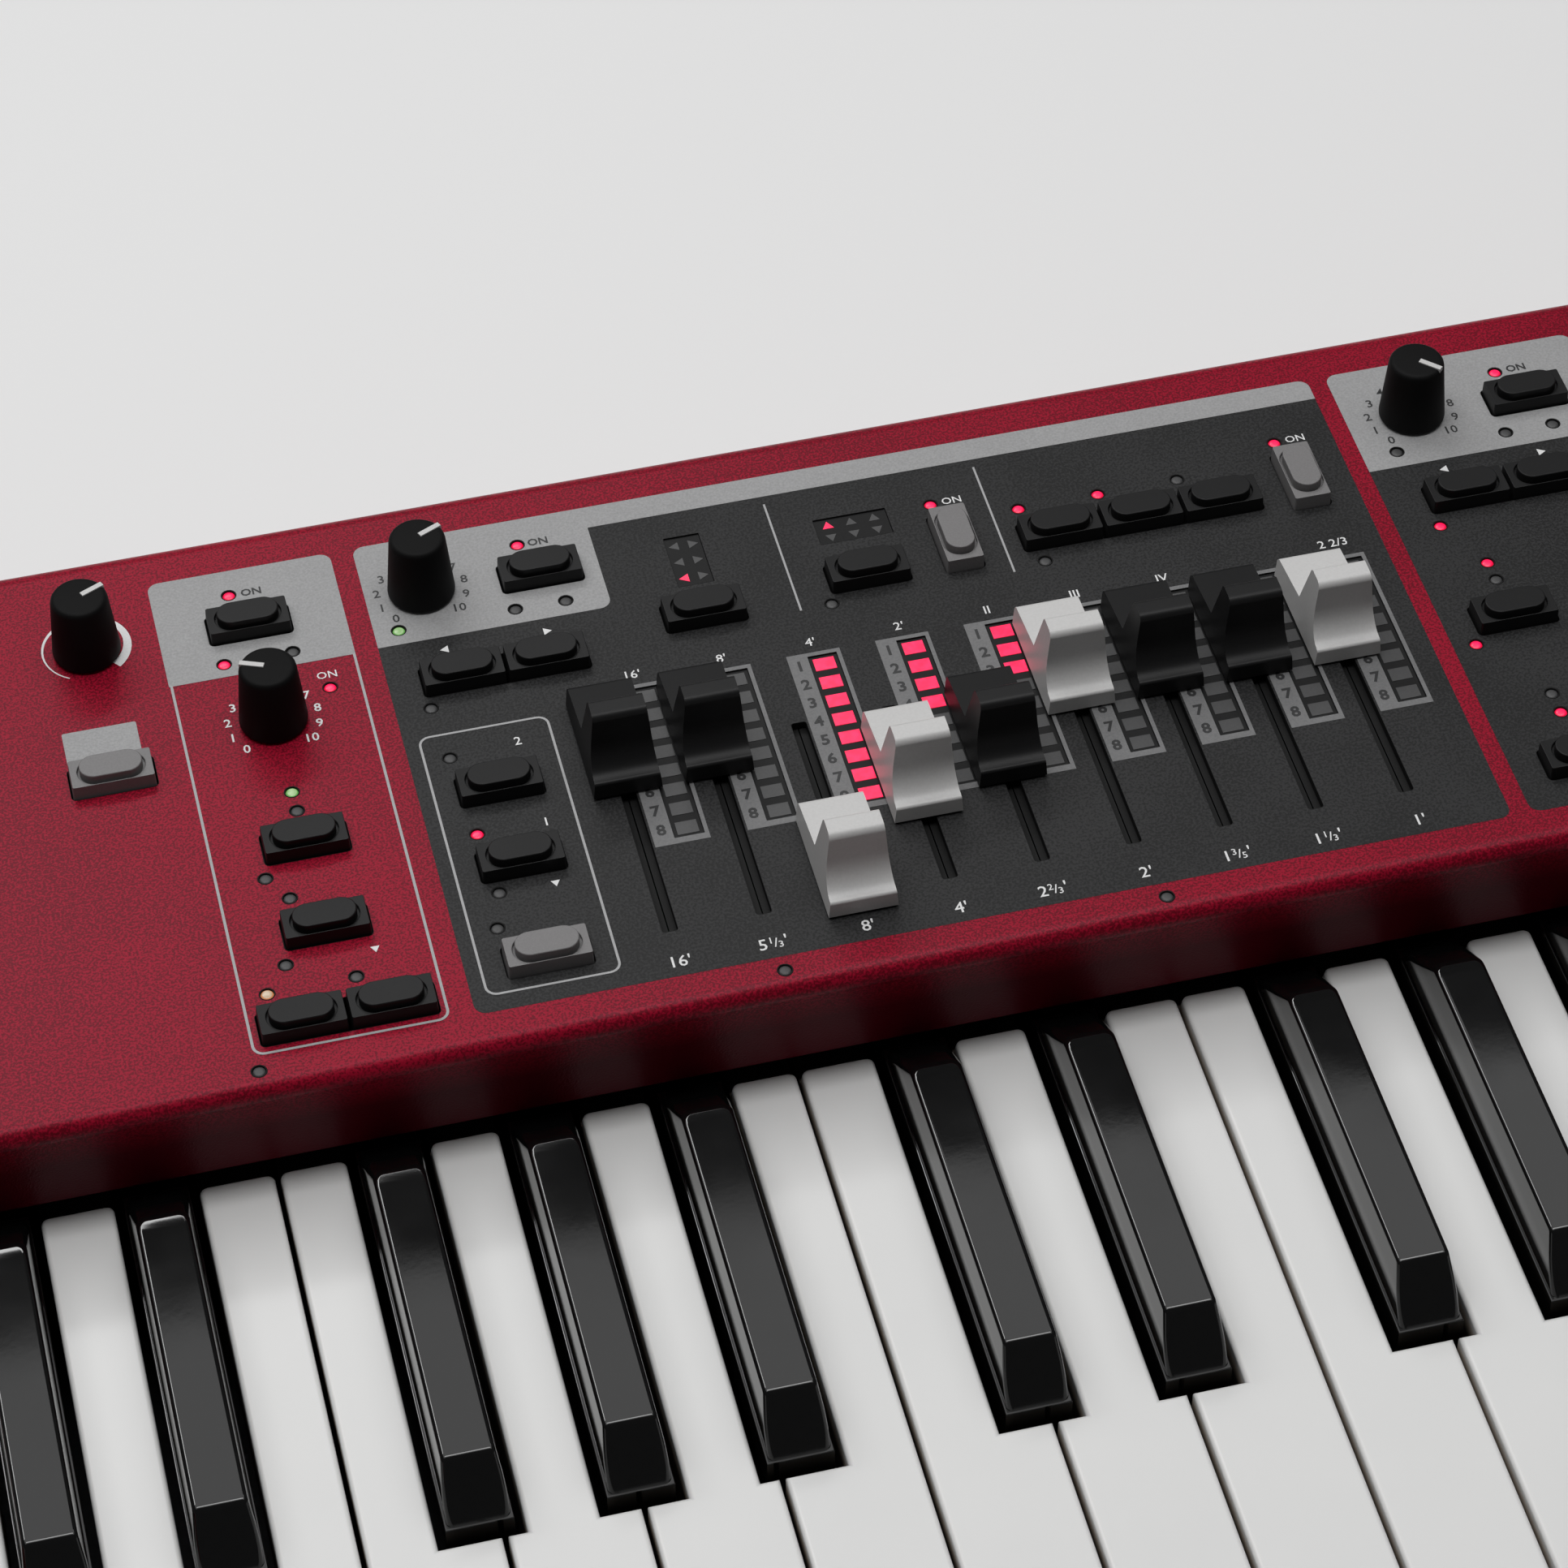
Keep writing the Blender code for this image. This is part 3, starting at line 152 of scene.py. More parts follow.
# %% [markdown]
# All pieces are made on a bench where one unit is a millimetre. Its zero is where the photograph's grid
# starts: the gap between the first E and F across, the rear ends of the keys in depth, and the floor in
# height. The last step of each piece scales it down and puts it in its place in the frame.

# %% The bench
MM = 0.001
WHITE_LENGTH = 137.0

low_e, high_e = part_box("key_05_e")
low_f, high_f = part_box("key_06_f")
bench_place = Vector(((high_e.x + low_f.x) / 2, low_e.y + WHITE_LENGTH * MM, 0))
BENCH = Matrix.Translation(bench_place) @ Matrix.Scale(MM, 4)
TO_BENCH = BENCH.inverted()


def bench_box(node):
    """Lowest and highest corner of a node in bench millimetres."""
    return [TO_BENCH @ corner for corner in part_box(node)]


panel_low, panel_high = bench_box("top_panel")
PANEL = panel_high.z
WHITE = bench_box("key_05_e")[1].z
print("bench:", [round(part, 4) for part in bench_place], "panel", round(PANEL, 2), "keys", round(WHITE, 2))

# %% [markdown]
# A maker's hands need a few moves again and again: lay a primitive on the bench, choose some of its
# corners, edges or faces, and push them about. Everything is chosen by its place or its direction, as an
# eye would, because an operator acts on all that is selected.

# %% Moves of the hand
def deselect():
    """Leave edit mode and select nothing."""
    if bpy.context.mode != "OBJECT":
        bpy.ops.object.mode_set(mode="OBJECT")
    for item in bpy.context.selected_objects:
        item.select_set(False)


def begin(kind, name, scale=(1, 1, 1), **settings):
    """Add a primitive at its size and place, and open it with nothing selected."""
    deselect()
    getattr(bpy.ops.mesh, f"primitive_{kind}_add")(**settings)
    piece = bpy.context.object
    piece.name = name
    piece.scale = scale
    bpy.ops.object.transform_apply(location=True, rotation=True, scale=True)
    bpy.ops.object.mode_set(mode="EDIT")
    bpy.ops.mesh.select_all(action="DESELECT")
    return piece


def slab(name, low, high):
    """A block between two corners, open in edit mode."""
    low, high = Vector(low), Vector(high)
    return begin("cube", name, size=1, location=(low + high) / 2, scale=high - low)


def middle(part):
    """The middle of a vertex, an edge or a face."""
    corners = getattr(part, "verts", [part])
    return sum((corner.co for corner in corners), Vector()) / len(corners)


def ends(part, axis):
    """The least and greatest place of a part along an axis."""
    places = [corner.co[axis] for corner in getattr(part, "verts", [part])]
    return min(places), max(places)


def pick(kind, test):
    """Select the verts, edges or faces of the open mesh that pass a test, and nothing else."""
    bpy.context.tool_settings.mesh_select_mode = [kind == each for each in ("verts", "edges", "faces")]
    bpy.ops.mesh.select_all(action="DESELECT")
    piece = bpy.context.edit_object
    mesh = bmesh.from_edit_mesh(piece.data)
    chosen = [part for part in getattr(mesh, kind) if test(part)]
    for part in chosen:
        part.select_set(True)
    mesh.select_flush_mode()
    bmesh.update_edit_mesh(piece.data)
    return len(chosen)


def near(value, target, reach=0.02):
    """Whether two places are the same to a fiftieth of a millimetre."""
    return abs(value - target) < reach


def corner_edge(edge, angle=0.5):
    """Whether two faces meet at this edge in a sharp outer corner."""
    return len(edge.link_faces) == 2 and edge.is_convex and edge.calc_face_angle() > angle


print("bench tools ready")

# %% [markdown]
# The moves themselves are Blender's own operators, with the one or two settings that a maker thinks of:
# how far to pull, how round to make an edge, where to slice.

# %% Pull, round, slice and finish a shape
def pull(x=0, y=0, z=0):
    """Extrude the chosen faces or edges and move them."""
    kind = "region" if bpy.context.tool_settings.mesh_select_mode[2] else "edges"
    if kind == "region":
        bpy.ops.mesh.extrude_region_move(TRANSFORM_OT_translate={"value": (x, y, z)})
    else:
        bpy.ops.mesh.extrude_edges_move(TRANSFORM_OT_translate={"value": (x, y, z)})


def move(x=0, y=0, z=0):
    """Move what is chosen."""
    bpy.ops.transform.translate(value=(x, y, z))


def round_off(radius, steps, kind="EDGES"):
    """Round the chosen edges or corners."""
    bpy.ops.mesh.bevel(offset=radius, segments=steps, affect=kind, profile=0.5, clamp_overlap=True)


def slice_at(axis, place):
    """Cut the whole open mesh in two along a plane, and leave both halves."""
    bpy.ops.mesh.select_all(action="SELECT")
    normal = [int(axis == each) for each in range(3)]
    bpy.ops.mesh.bisect(plane_co=[part * place for part in normal], plane_no=normal)


def tidy_mesh(dissolve=False):
    """Merge doubled corners, clear needless lines on flat faces, and turn all faces outwards."""
    bpy.ops.mesh.select_all(action="SELECT")
    bpy.ops.mesh.remove_doubles(threshold=0.001)
    if dissolve:
        bpy.ops.mesh.dissolve_limited(angle_limit=0.01)
        bpy.ops.mesh.select_all(action="SELECT")
    bpy.ops.mesh.normals_make_consistent(inside=False)


def outline(name, points):
    """A flat face inside some points: a plane merged to one corner that is then extruded all round."""
    piece = begin("plane", name, size=1, location=points[0])
    bpy.context.tool_settings.mesh_select_mode = (True, False, False)
    bpy.ops.mesh.select_all(action="SELECT")
    bpy.ops.mesh.merge(type="CENTER")
    for before, after in zip(points, points[1:]):
        bpy.ops.mesh.extrude_vertices_move(TRANSFORM_OT_translate={"value": Vector(after) - Vector(before)})
    bpy.ops.mesh.select_all(action="SELECT")
    bpy.ops.mesh.edge_face_add()
    return piece


def turned(name, profile, place=(0, 0, 0), steps=48):
    """A round piece: an outline of radius and height, spun about an upright line."""
    centre = Vector(place)
    piece = outline(name, [centre + Vector((radius, 0, height)) for radius, height in profile])
    bpy.ops.mesh.delete(type="ONLY_FACE")
    bpy.ops.mesh.select_all(action="SELECT")
    bpy.ops.mesh.spin(steps=steps, angle=math.tau, center=centre, axis=(0, 0, 1))
    tidy_mesh()
    return piece


def modify(piece, kind, **settings):
    """Add a modifier to a piece and apply it."""
    deselect()
    bpy.context.view_layer.objects.active = piece
    modifier = piece.modifiers.new(kind, kind)
    for name, value in settings.items():
        setattr(modifier, name, value)
    bpy.ops.object.modifier_apply(modifier=modifier.name)


def cut(piece, tool):
    """Cut another shape out of a piece."""
    modify(piece, "BOOLEAN", operation="DIFFERENCE", solver="EXACT", object=tool)


def copy_of(model, name, x=0, y=0, z=0, turn=0):
    """A copy with its own mesh, turned about the upright axis and then moved."""
    deselect()
    piece = model.copy()
    piece.data = model.data.copy()
    piece.name = name
    piece.data.transform(Matrix.Translation((x, y, z)) @ Matrix.Rotation(math.radians(turn), 4, "Z"))
    bpy.context.collection.objects.link(piece)
    return piece


def join(pieces, name):
    """Several pieces made into one."""
    deselect()
    for piece in pieces:
        piece.select_set(True)
    bpy.context.view_layer.objects.active = pieces[0]
    bpy.ops.object.join()
    pieces[0].name = name
    return pieces[0]


def discard(*pieces):
    """Take models and cutters off the bench."""
    deselect()
    for piece in pieces:
        bpy.data.objects.remove(piece, do_unlink=True)


def faces_of(piece):
    """How many faces a piece has."""
    deselect()
    return len(piece.data.polygons)


print("moves ready")

# %% [markdown]
# A finish is a Principled shader with patterns in it. Sums between patterns are written as plain Python:
# a small class holds a socket, and each sum on it adds the Math node that does the sum. One method makes
# any other node from its kind, its settings and its sockets.

# %% Shader sums
class Wire:
    """A value inside a finish, which can be added, multiplied and compared."""

    def __init__(self, finish, socket):
        self.finish = finish
        self.socket = socket

    def maths(self, operation, first, second):
        """A Math node on two values."""
        return self.finish.node("Math", {"operation": operation}, {0: first, 1: second})

    def __add__(self, other):
        return self.maths("ADD", self, other)

    def __sub__(self, other):
        return self.maths("SUBTRACT", self, other)

    def __rsub__(self, other):
        return self.maths("SUBTRACT", other, self)

    def __mul__(self, other):
        return self.maths("MULTIPLY", self, other)

    def __gt__(self, other):
        return self.maths("GREATER_THAN", self, other)

    def __lt__(self, other):
        return self.maths("LESS_THAN", self, other)

    __radd__ = __add__
    __rmul__ = __mul__


class Finish:
    """A material with one Principled shader, and the patterns that feed it."""

    def __init__(self, name):
        self.material = bpy.data.materials.new(name)
        self.material.use_nodes = True
        self.tree = self.material.node_tree
        self.shader = self.tree.nodes["Principled BSDF"]
        self.place = self.node("TexCoord", out="Object")

    def plug(self, socket, value):
        """Link a wire to a socket, or set the socket's own value."""
        if isinstance(value, Wire):
            self.tree.links.new(value.socket, socket)
        elif isinstance(value, tuple) and len(value) < len(socket.default_value):
            socket.default_value = (*value, 1)
        else:
            socket.default_value = value

    def node(self, kind, settings=None, sockets=None, out=0):
        """Any node: its settings first, then its sockets, given as values or wires."""
        made = self.tree.nodes.new("ShaderNode" + kind)
        for name, value in (settings or {}).items():
            setattr(made, name, value)
        for name, value in (sockets or {}).items():
            known = made.inputs[name] if isinstance(name, int) else next(
                socket for socket in made.inputs if name in (socket.identifier, socket.name))
            self.plug(known, value)
        result = made.outputs[out] if isinstance(out, int) else next(
            socket for socket in made.outputs if out in (socket.identifier, socket.name))
        return Wire(self, result)

    def set(self, **sockets):
        """Set the shader's own sockets; base_color is Base Color."""
        for name, value in sockets.items():
            self.plug(self.shader.inputs[name.replace("_", " ").title().replace("Ior", "IOR")], value)
        return self

    def noise(self, size, detail=2.0, place=None):
        """Cloudy noise from 0 to 1 whose patches are about a size in millimetres."""
        return self.node("TexNoise", None, {"Vector": place or self.place, "Scale": 1 / (size * MM),
                                            "Detail": detail})

    def between(self, factor, first, second):
        """A colour between two colours."""
        return self.node("Mix", {"data_type": "RGBA"}, {"Factor_Float": factor, "A_Color": first,
                                                        "B_Color": second}, "Result_Color")

    def ramp(self, value, low, high):
        """0 below a value, 1 above another, and a straight line between."""
        return self.node("MapRange", None, {"Value": value, "From Min": low, "From Max": high})

    def bump(self, height, depth, strength=1.0):
        """Small heights and hollows, to a depth in millimetres."""
        self.set(normal=self.node("Bump", None, {"Height": height, "Distance": depth * MM,
                                                 "Strength": strength}, "Normal"))
        return self

    def axis(self, name):
        """A place along one axis, in metres."""
        return self.node("SeparateXYZ", None, {"Vector": self.place}, name)


def tinted(colour, change):
    """A colour made lighter or darker by a share."""
    return tuple(max(0.0, min(1.0, part * (1 + change))) for part in colour)


def moulded(name, colour, roughness, grain=0.35, change=0.1, depth=0.01, patch=18.0, spread=0.2):
    """A surface with grain in its colour and relief, and broad patches in its gloss; a small spread is crisp."""
    finish = Finish(name)
    fine = finish.noise(grain)
    broad = finish.noise(patch)
    mixed = finish.ramp(fine * 0.8 + broad * 0.2, 0.5 - spread, 0.5 + spread)
    finish.set(base_color=finish.between(mixed, tinted(colour, -change), tinted(colour, change)))
    finish.set(roughness=roughness - 0.05 + 0.1 * broad)
    return finish.bump(fine, depth)


print("shader sums ready")

# %% [markdown]
# The sheet metal is powder coated: a fine orange-peel grain of half a millimetre in a deep wine red that
# takes a soft grey sheen. The fascia under the panel's front bend has a finish of its own with a lower
# specular level, and its colour is darkened towards the keys as painted shade. The keys are satin and gloss
# plastic. The white finish is painted near black past the key's rear end, as painted shade on the arm
# where it runs on under the panel, and brownish and then near black low on the keys' side walls, as
# painted shade in the gaps. The cheeks are stained wood under a clear lacquer, with the grain along their length.

# %% Finishes of the case and the keys
WINE_RED = (0.205, 0.0018, 0.0135)


def powder_coat(name):
    """Wine red with a fine grain and a soft sheen."""
    finish = moulded(name, WINE_RED, 0.42, grain=0.45, change=0.42, depth=0.05, patch=60, spread=0.06)
    return finish.set(specular_ior_level=0.3, specular_tint=(1.0, 0.42, 0.52))


red_coat = powder_coat("red_coat")
FASCIA_TOP, FASCIA_FOOT = PANEL - 3.5, PANEL - 11
FASCIA_BEHIND = 20
# Painted shade: a ramp in height darkens the fascia's colour towards the keys, down to a much darker red at its foot.
# Its specular level is lower too.
fascia_coat = powder_coat("fascia_coat").set(specular_ior_level=0.1)
fascia_painted_shade_share = fascia_coat.ramp(fascia_coat.axis("Z"), FASCIA_FOOT * MM, FASCIA_TOP * MM)
full_coat = Wire(fascia_coat, fascia_coat.shader.inputs["Base Color"].links[0].from_socket)
fascia_coat.set(base_color=fascia_coat.between(fascia_painted_shade_share, tinted(WINE_RED, -0.62), full_coat))

key_end_y = bench_place.y


def key_white():
    """Satin white plastic with painted shade: near black past the key's rear end, brownish and then near black low on
    the side walls.
    """
    finish = Finish("key_white")
    fine = finish.noise(0.9)
    broad = finish.noise(25)
    white = finish.between(broad, (0.68, 0.68, 0.675), (0.72, 0.718, 0.71))
    # Painted shade: the white turns near black past the key's rear end, where the arm runs on under the panel.
    painted_arm_shade = finish.ramp(finish.axis("Y"), key_end_y + 0.4 * MM, key_end_y + 1.2 * MM)
    # Painted shade: low on the side walls the white turns brownish, as the gaps between keys are shaded.
    painted_wall_shade = finish.ramp(finish.axis("Z"), (WHITE - 1.2) * MM, (WHITE - 3.0) * MM)
    painted_wall_shade = painted_wall_shade * finish.ramp(finish.axis("Y"), key_end_y - 134 * MM, key_end_y - 131 * MM)
    # Painted shade: deeper down in the gaps between keys the walls turn near black.
    deep = finish.ramp(finish.axis("Z"), (WHITE - 3.0) * MM, (WHITE - 5.5) * MM)
    plastic = finish.between(painted_wall_shade, white, finish.between(deep, (0.48, 0.41, 0.34), (0.05, 0.04, 0.035)))
    finish.set(base_color=finish.between(painted_arm_shade, plastic, (0.012, 0.011, 0.011)))
    finish.set(roughness=0.26 + 0.1 * broad)
    return finish.bump(fine, 0.004)


white_keys_finish = key_white()
black_keys_finish = moulded("key_black", (0.0025, 0.0025, 0.0026), 0.06, grain=1.2, change=0.2, depth=0.001)


def lacquered_wood():
    """Red-stained wood with its grain along Y, under clear lacquer."""
    finish = Finish("red_wood")
    stretched = finish.node("Mapping", None, {"Vector": finish.place, "Scale": (1.0, 0.06, 1.0)})
    streaks = finish.noise(1.6, 4, stretched)
    pores = finish.noise(0.35, 2, stretched)
    stain = finish.between(finish.ramp(streaks, 0.35, 0.65), (0.16, 0.0035, 0.008), (0.27, 0.009, 0.015))
    dark = finish.between(finish.ramp(pores, 0.62, 0.72) * 0.5, stain, (0.05, 0.002, 0.003))
    finish.set(base_color=dark, roughness=0.34 + 0.12 * streaks, coat_weight=0.5, coat_roughness=0.18)
    return finish.bump(pores, 0.015)


red_wood = lacquered_wood()
rubber = moulded("rubber", (0.018, 0.018, 0.019), 0.75, grain=0.6, change=0.25, depth=0.02)
steel = moulded("dark_steel", (0.07, 0.07, 0.075), 0.5, grain=1.5, change=0.1, depth=0.005)
steel.set(metallic=0.7)
print("finishes of the case and keys ready")

# %% [markdown]
# The controls have their own plastics: matt black, a grainy satin white for the drawbars, and a warm grey
# for the buttons that stand out.

# %% Finishes of the controls
matt_black = moulded("matt_black", (0.0085, 0.0085, 0.0088), 0.45, grain=0.3, change=0.12, depth=0.008)
matt_black.set(specular_ior_level=0.2)
satin_white = moulded("satin_white", (0.525, 0.52, 0.515), 0.42, grain=0.5, change=0.04, depth=0.008)
warm_grey = moulded("warm_grey", (0.160, 0.155, 0.156), 0.5, grain=0.35, change=0.08, depth=0.008)
deep_black = moulded("deep_black", (0.004, 0.004, 0.004), 0.6, grain=0.5, change=0.2, depth=0.005)
deep_black.set(specular_ior_level=0.2)
knob_black = moulded("knob_black", (0.0045, 0.0045, 0.0046), 0.6, grain=0.3, change=0.15, depth=0.008)
knob_black.set(specular_ior_level=0.1)
nickel = moulded("nickel", (0.62, 0.60, 0.57), 0.24, grain=0.8, change=0.05, depth=0.003)
nickel.set(metallic=1.0)
smoked = moulded("smoked_acrylic", (0.008, 0.009, 0.011), 0.08, grain=3, change=0.2, depth=0.001)
green_board = moulded("green_board", (0.008, 0.045, 0.018), 0.4, grain=1.0, change=0.3, depth=0.01)

CAD_FINISHES = {
    "red_powder_coat": red_coat, "red_lacquered_wood": red_wood, "white_key_plastic": white_keys_finish,
    "black_key_plastic": black_keys_finish, "white_drawbar_plastic": satin_white,
    "black_control_plastic": matt_black, "grey_button_plastic": warm_grey, "black_rubber": rubber,
    "circuit_board": green_board, "display_acrylic": smoked,
}
for entry in frame["record"]["subparts"]:
    node = nodes[entry["node"]]
    node.data.materials.clear()
    node.data.materials.append(CAD_FINISHES[entry["material_slot"]].material)
print("nodes finished:", len(nodes))


def place(piece, finish, body, slot, *replaced, angle=35, flats=True):
    """Scale a piece off the bench into the frame, finish it and fix it to its body; flats stay flat in gloss."""
    deselect()
    piece.select_set(True)
    bpy.context.view_layer.objects.active = piece
    piece.matrix_world = BENCH
    bpy.ops.object.transform_apply(location=True, rotation=True, scale=True)
    bpy.ops.object.shade_smooth_by_angle(angle=math.radians(angle))
    if flats:
        modify(piece, "WEIGHTED_NORMAL", keep_sharp=True)
    if finish:
        piece.data.materials.clear()
        piece.data.materials.append(finish.material)
    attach(piece, body)
    if replaced:
        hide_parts(*replaced)
    piece.select_set(False)
    return piece

# %% [markdown]
# A white key is a wide head with a narrower tail between its black neighbours. It could be cut from one
# block, but pulling the tail out of the head's rear face keeps every wall flat, so the head is made, its
# rear face is sliced where the tail's sides run, and the middle part is pulled back. Then the lip and the
# upper edges are rounded. The arm goes on from the rear face, 4 mm lower, to a round nose in the hinge.

# %% Model the white keys
WHITE_PITCH = 23.5
WHITE_HALF = 11.25
SLOT_LINE = -85.2
KEY_UNDERSIDE = 43.0
ARM_TOP = 56.0
HINGE = 52.0
NOSE = 6.0
LIP_RADIUS = 2.5
WHITE_EDGE = 1.0
TAIL_RADIUS = 1.5


def add_arm():
    """Pull the lower part of the rear face back to the hinge and round it off."""
    slice_at(2, ARM_TOP)
    pick("faces", lambda face: face.normal.y > 0.9 and near(middle(face).y, 0) and middle(face).z < ARM_TOP)
    pull(y=HINGE + NOSE)
    pick("verts", lambda vert: vert.co.y > HINGE and vert.co.z < ARM_TOP - 1)
    move(z=1)
    pick("edges", lambda edge: ends(edge, 1)[0] > HINGE and near(*ends(edge, 2)))
    round_off(NOSE - 0.1, 5)


def white_key(name, cut_left, cut_right):
    """A white key whose tail is narrower by two cuts."""
    left, right = cut_left - WHITE_HALF, WHITE_HALF - cut_right
    piece = slab(name, (-WHITE_HALF, -WHITE_LENGTH, KEY_UNDERSIDE), (WHITE_HALF, SLOT_LINE, WHITE))
    for side in {left, right} - {-WHITE_HALF, WHITE_HALF}:
        slice_at(0, side)
    pick("faces", lambda face: face.normal.y > 0.9 and left < middle(face).x < right)
    pull(y=-SLOT_LINE)
    add_arm()
    tidy_mesh(dissolve=True)
    pick("edges", lambda edge: near(edge.verts[0].co.y, 0) and near(edge.verts[1].co.y, 0)
         and ends(edge, 2)[0] > ARM_TOP - 0.1 and not near(*ends(edge, 2)))
    round_off(TAIL_RADIUS, 4)
    pick("edges", lambda edge: near(ends(edge, 1)[1], -WHITE_LENGTH) and near(ends(edge, 2)[0], WHITE))
    round_off(LIP_RADIUS, 5)
    pick("edges", lambda edge: corner_edge(edge) and ends(edge, 2)[1] > WHITE - LIP_RADIUS - 0.1
         and (ends(edge, 2)[0] > ARM_TOP + 0.5 or near(ends(edge, 1)[1], -WHITE_LENGTH))
         and ends(edge, 1)[1] < 0.5)
    round_off(WHITE_EDGE, 3)
    tidy_mesh()
    return piece


SHARP_SHIFT = {"C": -2.2, "D": 2.2, "F": -3.7, "G": 0.0, "A": 3.7}
NOTES = "CDEFGAB"
SLOT_HALF = 7.0


def cuts_of(note):
    """How far the slots beside a note cut into its key."""
    before = SHARP_SHIFT.get(NOTES[NOTES.index(note) - 1])
    after = SHARP_SHIFT.get(note)
    return [0 if before is None else SLOT_HALF + before, 0 if after is None else SLOT_HALF - after]


white_models = {note: white_key(f"white_{note}", *cuts_of(note)) for note in NOTES}
white_models["last"] = white_key("white_last", 0, 0)
print("white keys modelled:", {name: faces_of(model) for name, model in white_models.items()})

# %% [markdown]
# A black key stands on a straight skirt that ends in a narrow step just above the white keys. The body
# rises from there with slightly leaning sides, a sloping front and a longer slope at the back. Its foot is
# a block of its own, sunk a little into the skirt, because its upright corners are rounded first, and two
# pulls of its top face carry the round corners up: each is narrowed and drawn in at its ends. Then the
# crease along the sides is spread into a soft curve, and so is the rim of the top. Last, the rear end of
# the top is lowered a little. There it mirrors the lamp behind the instrument in a bright line.

# %% Model the black key
BLACK_HALF = 5.8
BLACK_FRONT = -83.0
SKIRT_TOP = 61.3
SKIRT_STEP = 0.35
SUNK = 0.5
BLACK_TOP = 72.0
BELLY_HEIGHT, BELLY_SHARE = 66.0, 0.985
TOP_SHARE = 0.835
FRONT_SLOPE = 6.2
REAR_SLOPE = 13.9
BELLY_ROUND = 2.3
FRONT_CORNER, REAR_CORNER = 1.2, 2.2
TOP_RIM = 0.85
DROP_FROM, DROP = -17.3, 0.052

black_body = slab("black_body", (SKIRT_STEP - BLACK_HALF, BLACK_FRONT + SKIRT_STEP, SKIRT_TOP - SUNK),
                  (BLACK_HALF - SKIRT_STEP, -SKIRT_STEP, SKIRT_TOP))
for rear, radius in ((True, REAR_CORNER), (False, FRONT_CORNER)):
    pick("edges", lambda edge: not near(*ends(edge, 2)) and (middle(edge).y > -30) == rear)
    round_off(radius, 6)
pick("faces", lambda face: face.normal.z > 0.9)
rise = (BELLY_HEIGHT - SKIRT_TOP) / (BLACK_TOP - SKIRT_TOP)
for height, share_x, part in ((BELLY_HEIGHT, BELLY_SHARE, rise), (BLACK_TOP, TOP_SHARE / BELLY_SHARE, 1 - rise)):
    pull(z=part * (BLACK_TOP - SKIRT_TOP))
    bpy.ops.transform.resize(value=(share_x, 1, 1), center_override=(0, 0, height))
    pick("verts", lambda vert: near(vert.co.z, height) and vert.co.y < BLACK_FRONT + 10)
    move(y=part * FRONT_SLOPE)
    pick("verts", lambda vert: near(vert.co.z, height) and vert.co.y > -10)
    move(y=-part * REAR_SLOPE)
    pick("faces", lambda face: face.normal.z > 0.9 and near(middle(face).z, height))
pick("edges", lambda edge: near(ends(edge, 2)[0], BELLY_HEIGHT) and near(ends(edge, 2)[1], BELLY_HEIGHT))
round_off(BELLY_ROUND, 5)
rim_edges = pick("edges", lambda edge: near(ends(edge, 2)[0], BLACK_TOP) and corner_edge(edge, 0.3))
round_off(TOP_RIM, 6)
slice_at(1, DROP_FROM)
dropped = pick("verts", lambda vert: vert.co.z > BLACK_TOP - 1 and vert.co.y > DROP_FROM + 0.01)
move(z=-DROP)
tidy_mesh()

black_skirt = slab("black_skirt", (-BLACK_HALF, BLACK_FRONT, KEY_UNDERSIDE), (BLACK_HALF, 0, SKIRT_TOP))
add_arm()
tidy_mesh(dissolve=True)
pick("edges", lambda edge: near(*ends(edge, 2)) and near(ends(edge, 2)[0], SKIRT_TOP) and corner_edge(edge))
round_off(0.3, 2)
tidy_mesh()
black_model = join([black_skirt, black_body], "black_model")
print("black key modelled:", faces_of(black_model), "faces, rim of", rim_edges, "edges,", dropped, "corners lowered")

# %% [markdown]
# Each key at the bass end rides on its own hinge. The rest of the keyboard belongs to the key bed in the
# frame, so its keys are joined by colour.

# %% Lay out the keyboard
FIRST_WHITE = -3
WHITE_COUNT = 36
hinged_nodes = sorted(name for name in nodes if name.startswith("key_") and name != "key_bed")

keys = []
for white in range(WHITE_COUNT):
    note = NOTES[white % 7]
    x = (FIRST_WHITE + white + 0.5) * WHITE_PITCH
    keys.append(("white", white_models["last" if white == WHITE_COUNT - 1 else note], x))
    if note in SHARP_SHIFT and white < WHITE_COUNT - 1:
        keys.append(("black", black_model, x + WHITE_PITCH / 2 + SHARP_SHIFT[note]))
fixed = {"white": [], "black": []}
KEY_FINISH = {"white": white_keys_finish, "black": black_keys_finish}
for number, (colour, model, x) in enumerate(keys):
    piece = copy_of(model, f"{colour}_key_{number + 1:02d}", x)
    if number < len(hinged_nodes):
        node = hinged_nodes[number]
        place(piece, KEY_FINISH[colour], node, f"{colour}_key_plastic", node)
    else:
        fixed[colour].append(piece)
for colour, pieces in fixed.items():
    place(join(pieces, f"fixed_{colour}_keys"), KEY_FINISH[colour], "case", f"{colour}_key_plastic",
          "key_bed")
discard(*white_models.values(), black_model)
print("keys laid out:", len(keys), "of which hinged:", len(hinged_nodes))

# %% [markdown]
# Under the keys runs a steel chassis: a floor with a felt rail in front, where the keys land, and a cradle
# at the back, where the hinges turn. It is one long section, drawn as an outline and pulled from end to
# end, with the strip of red felt laid on the rail.

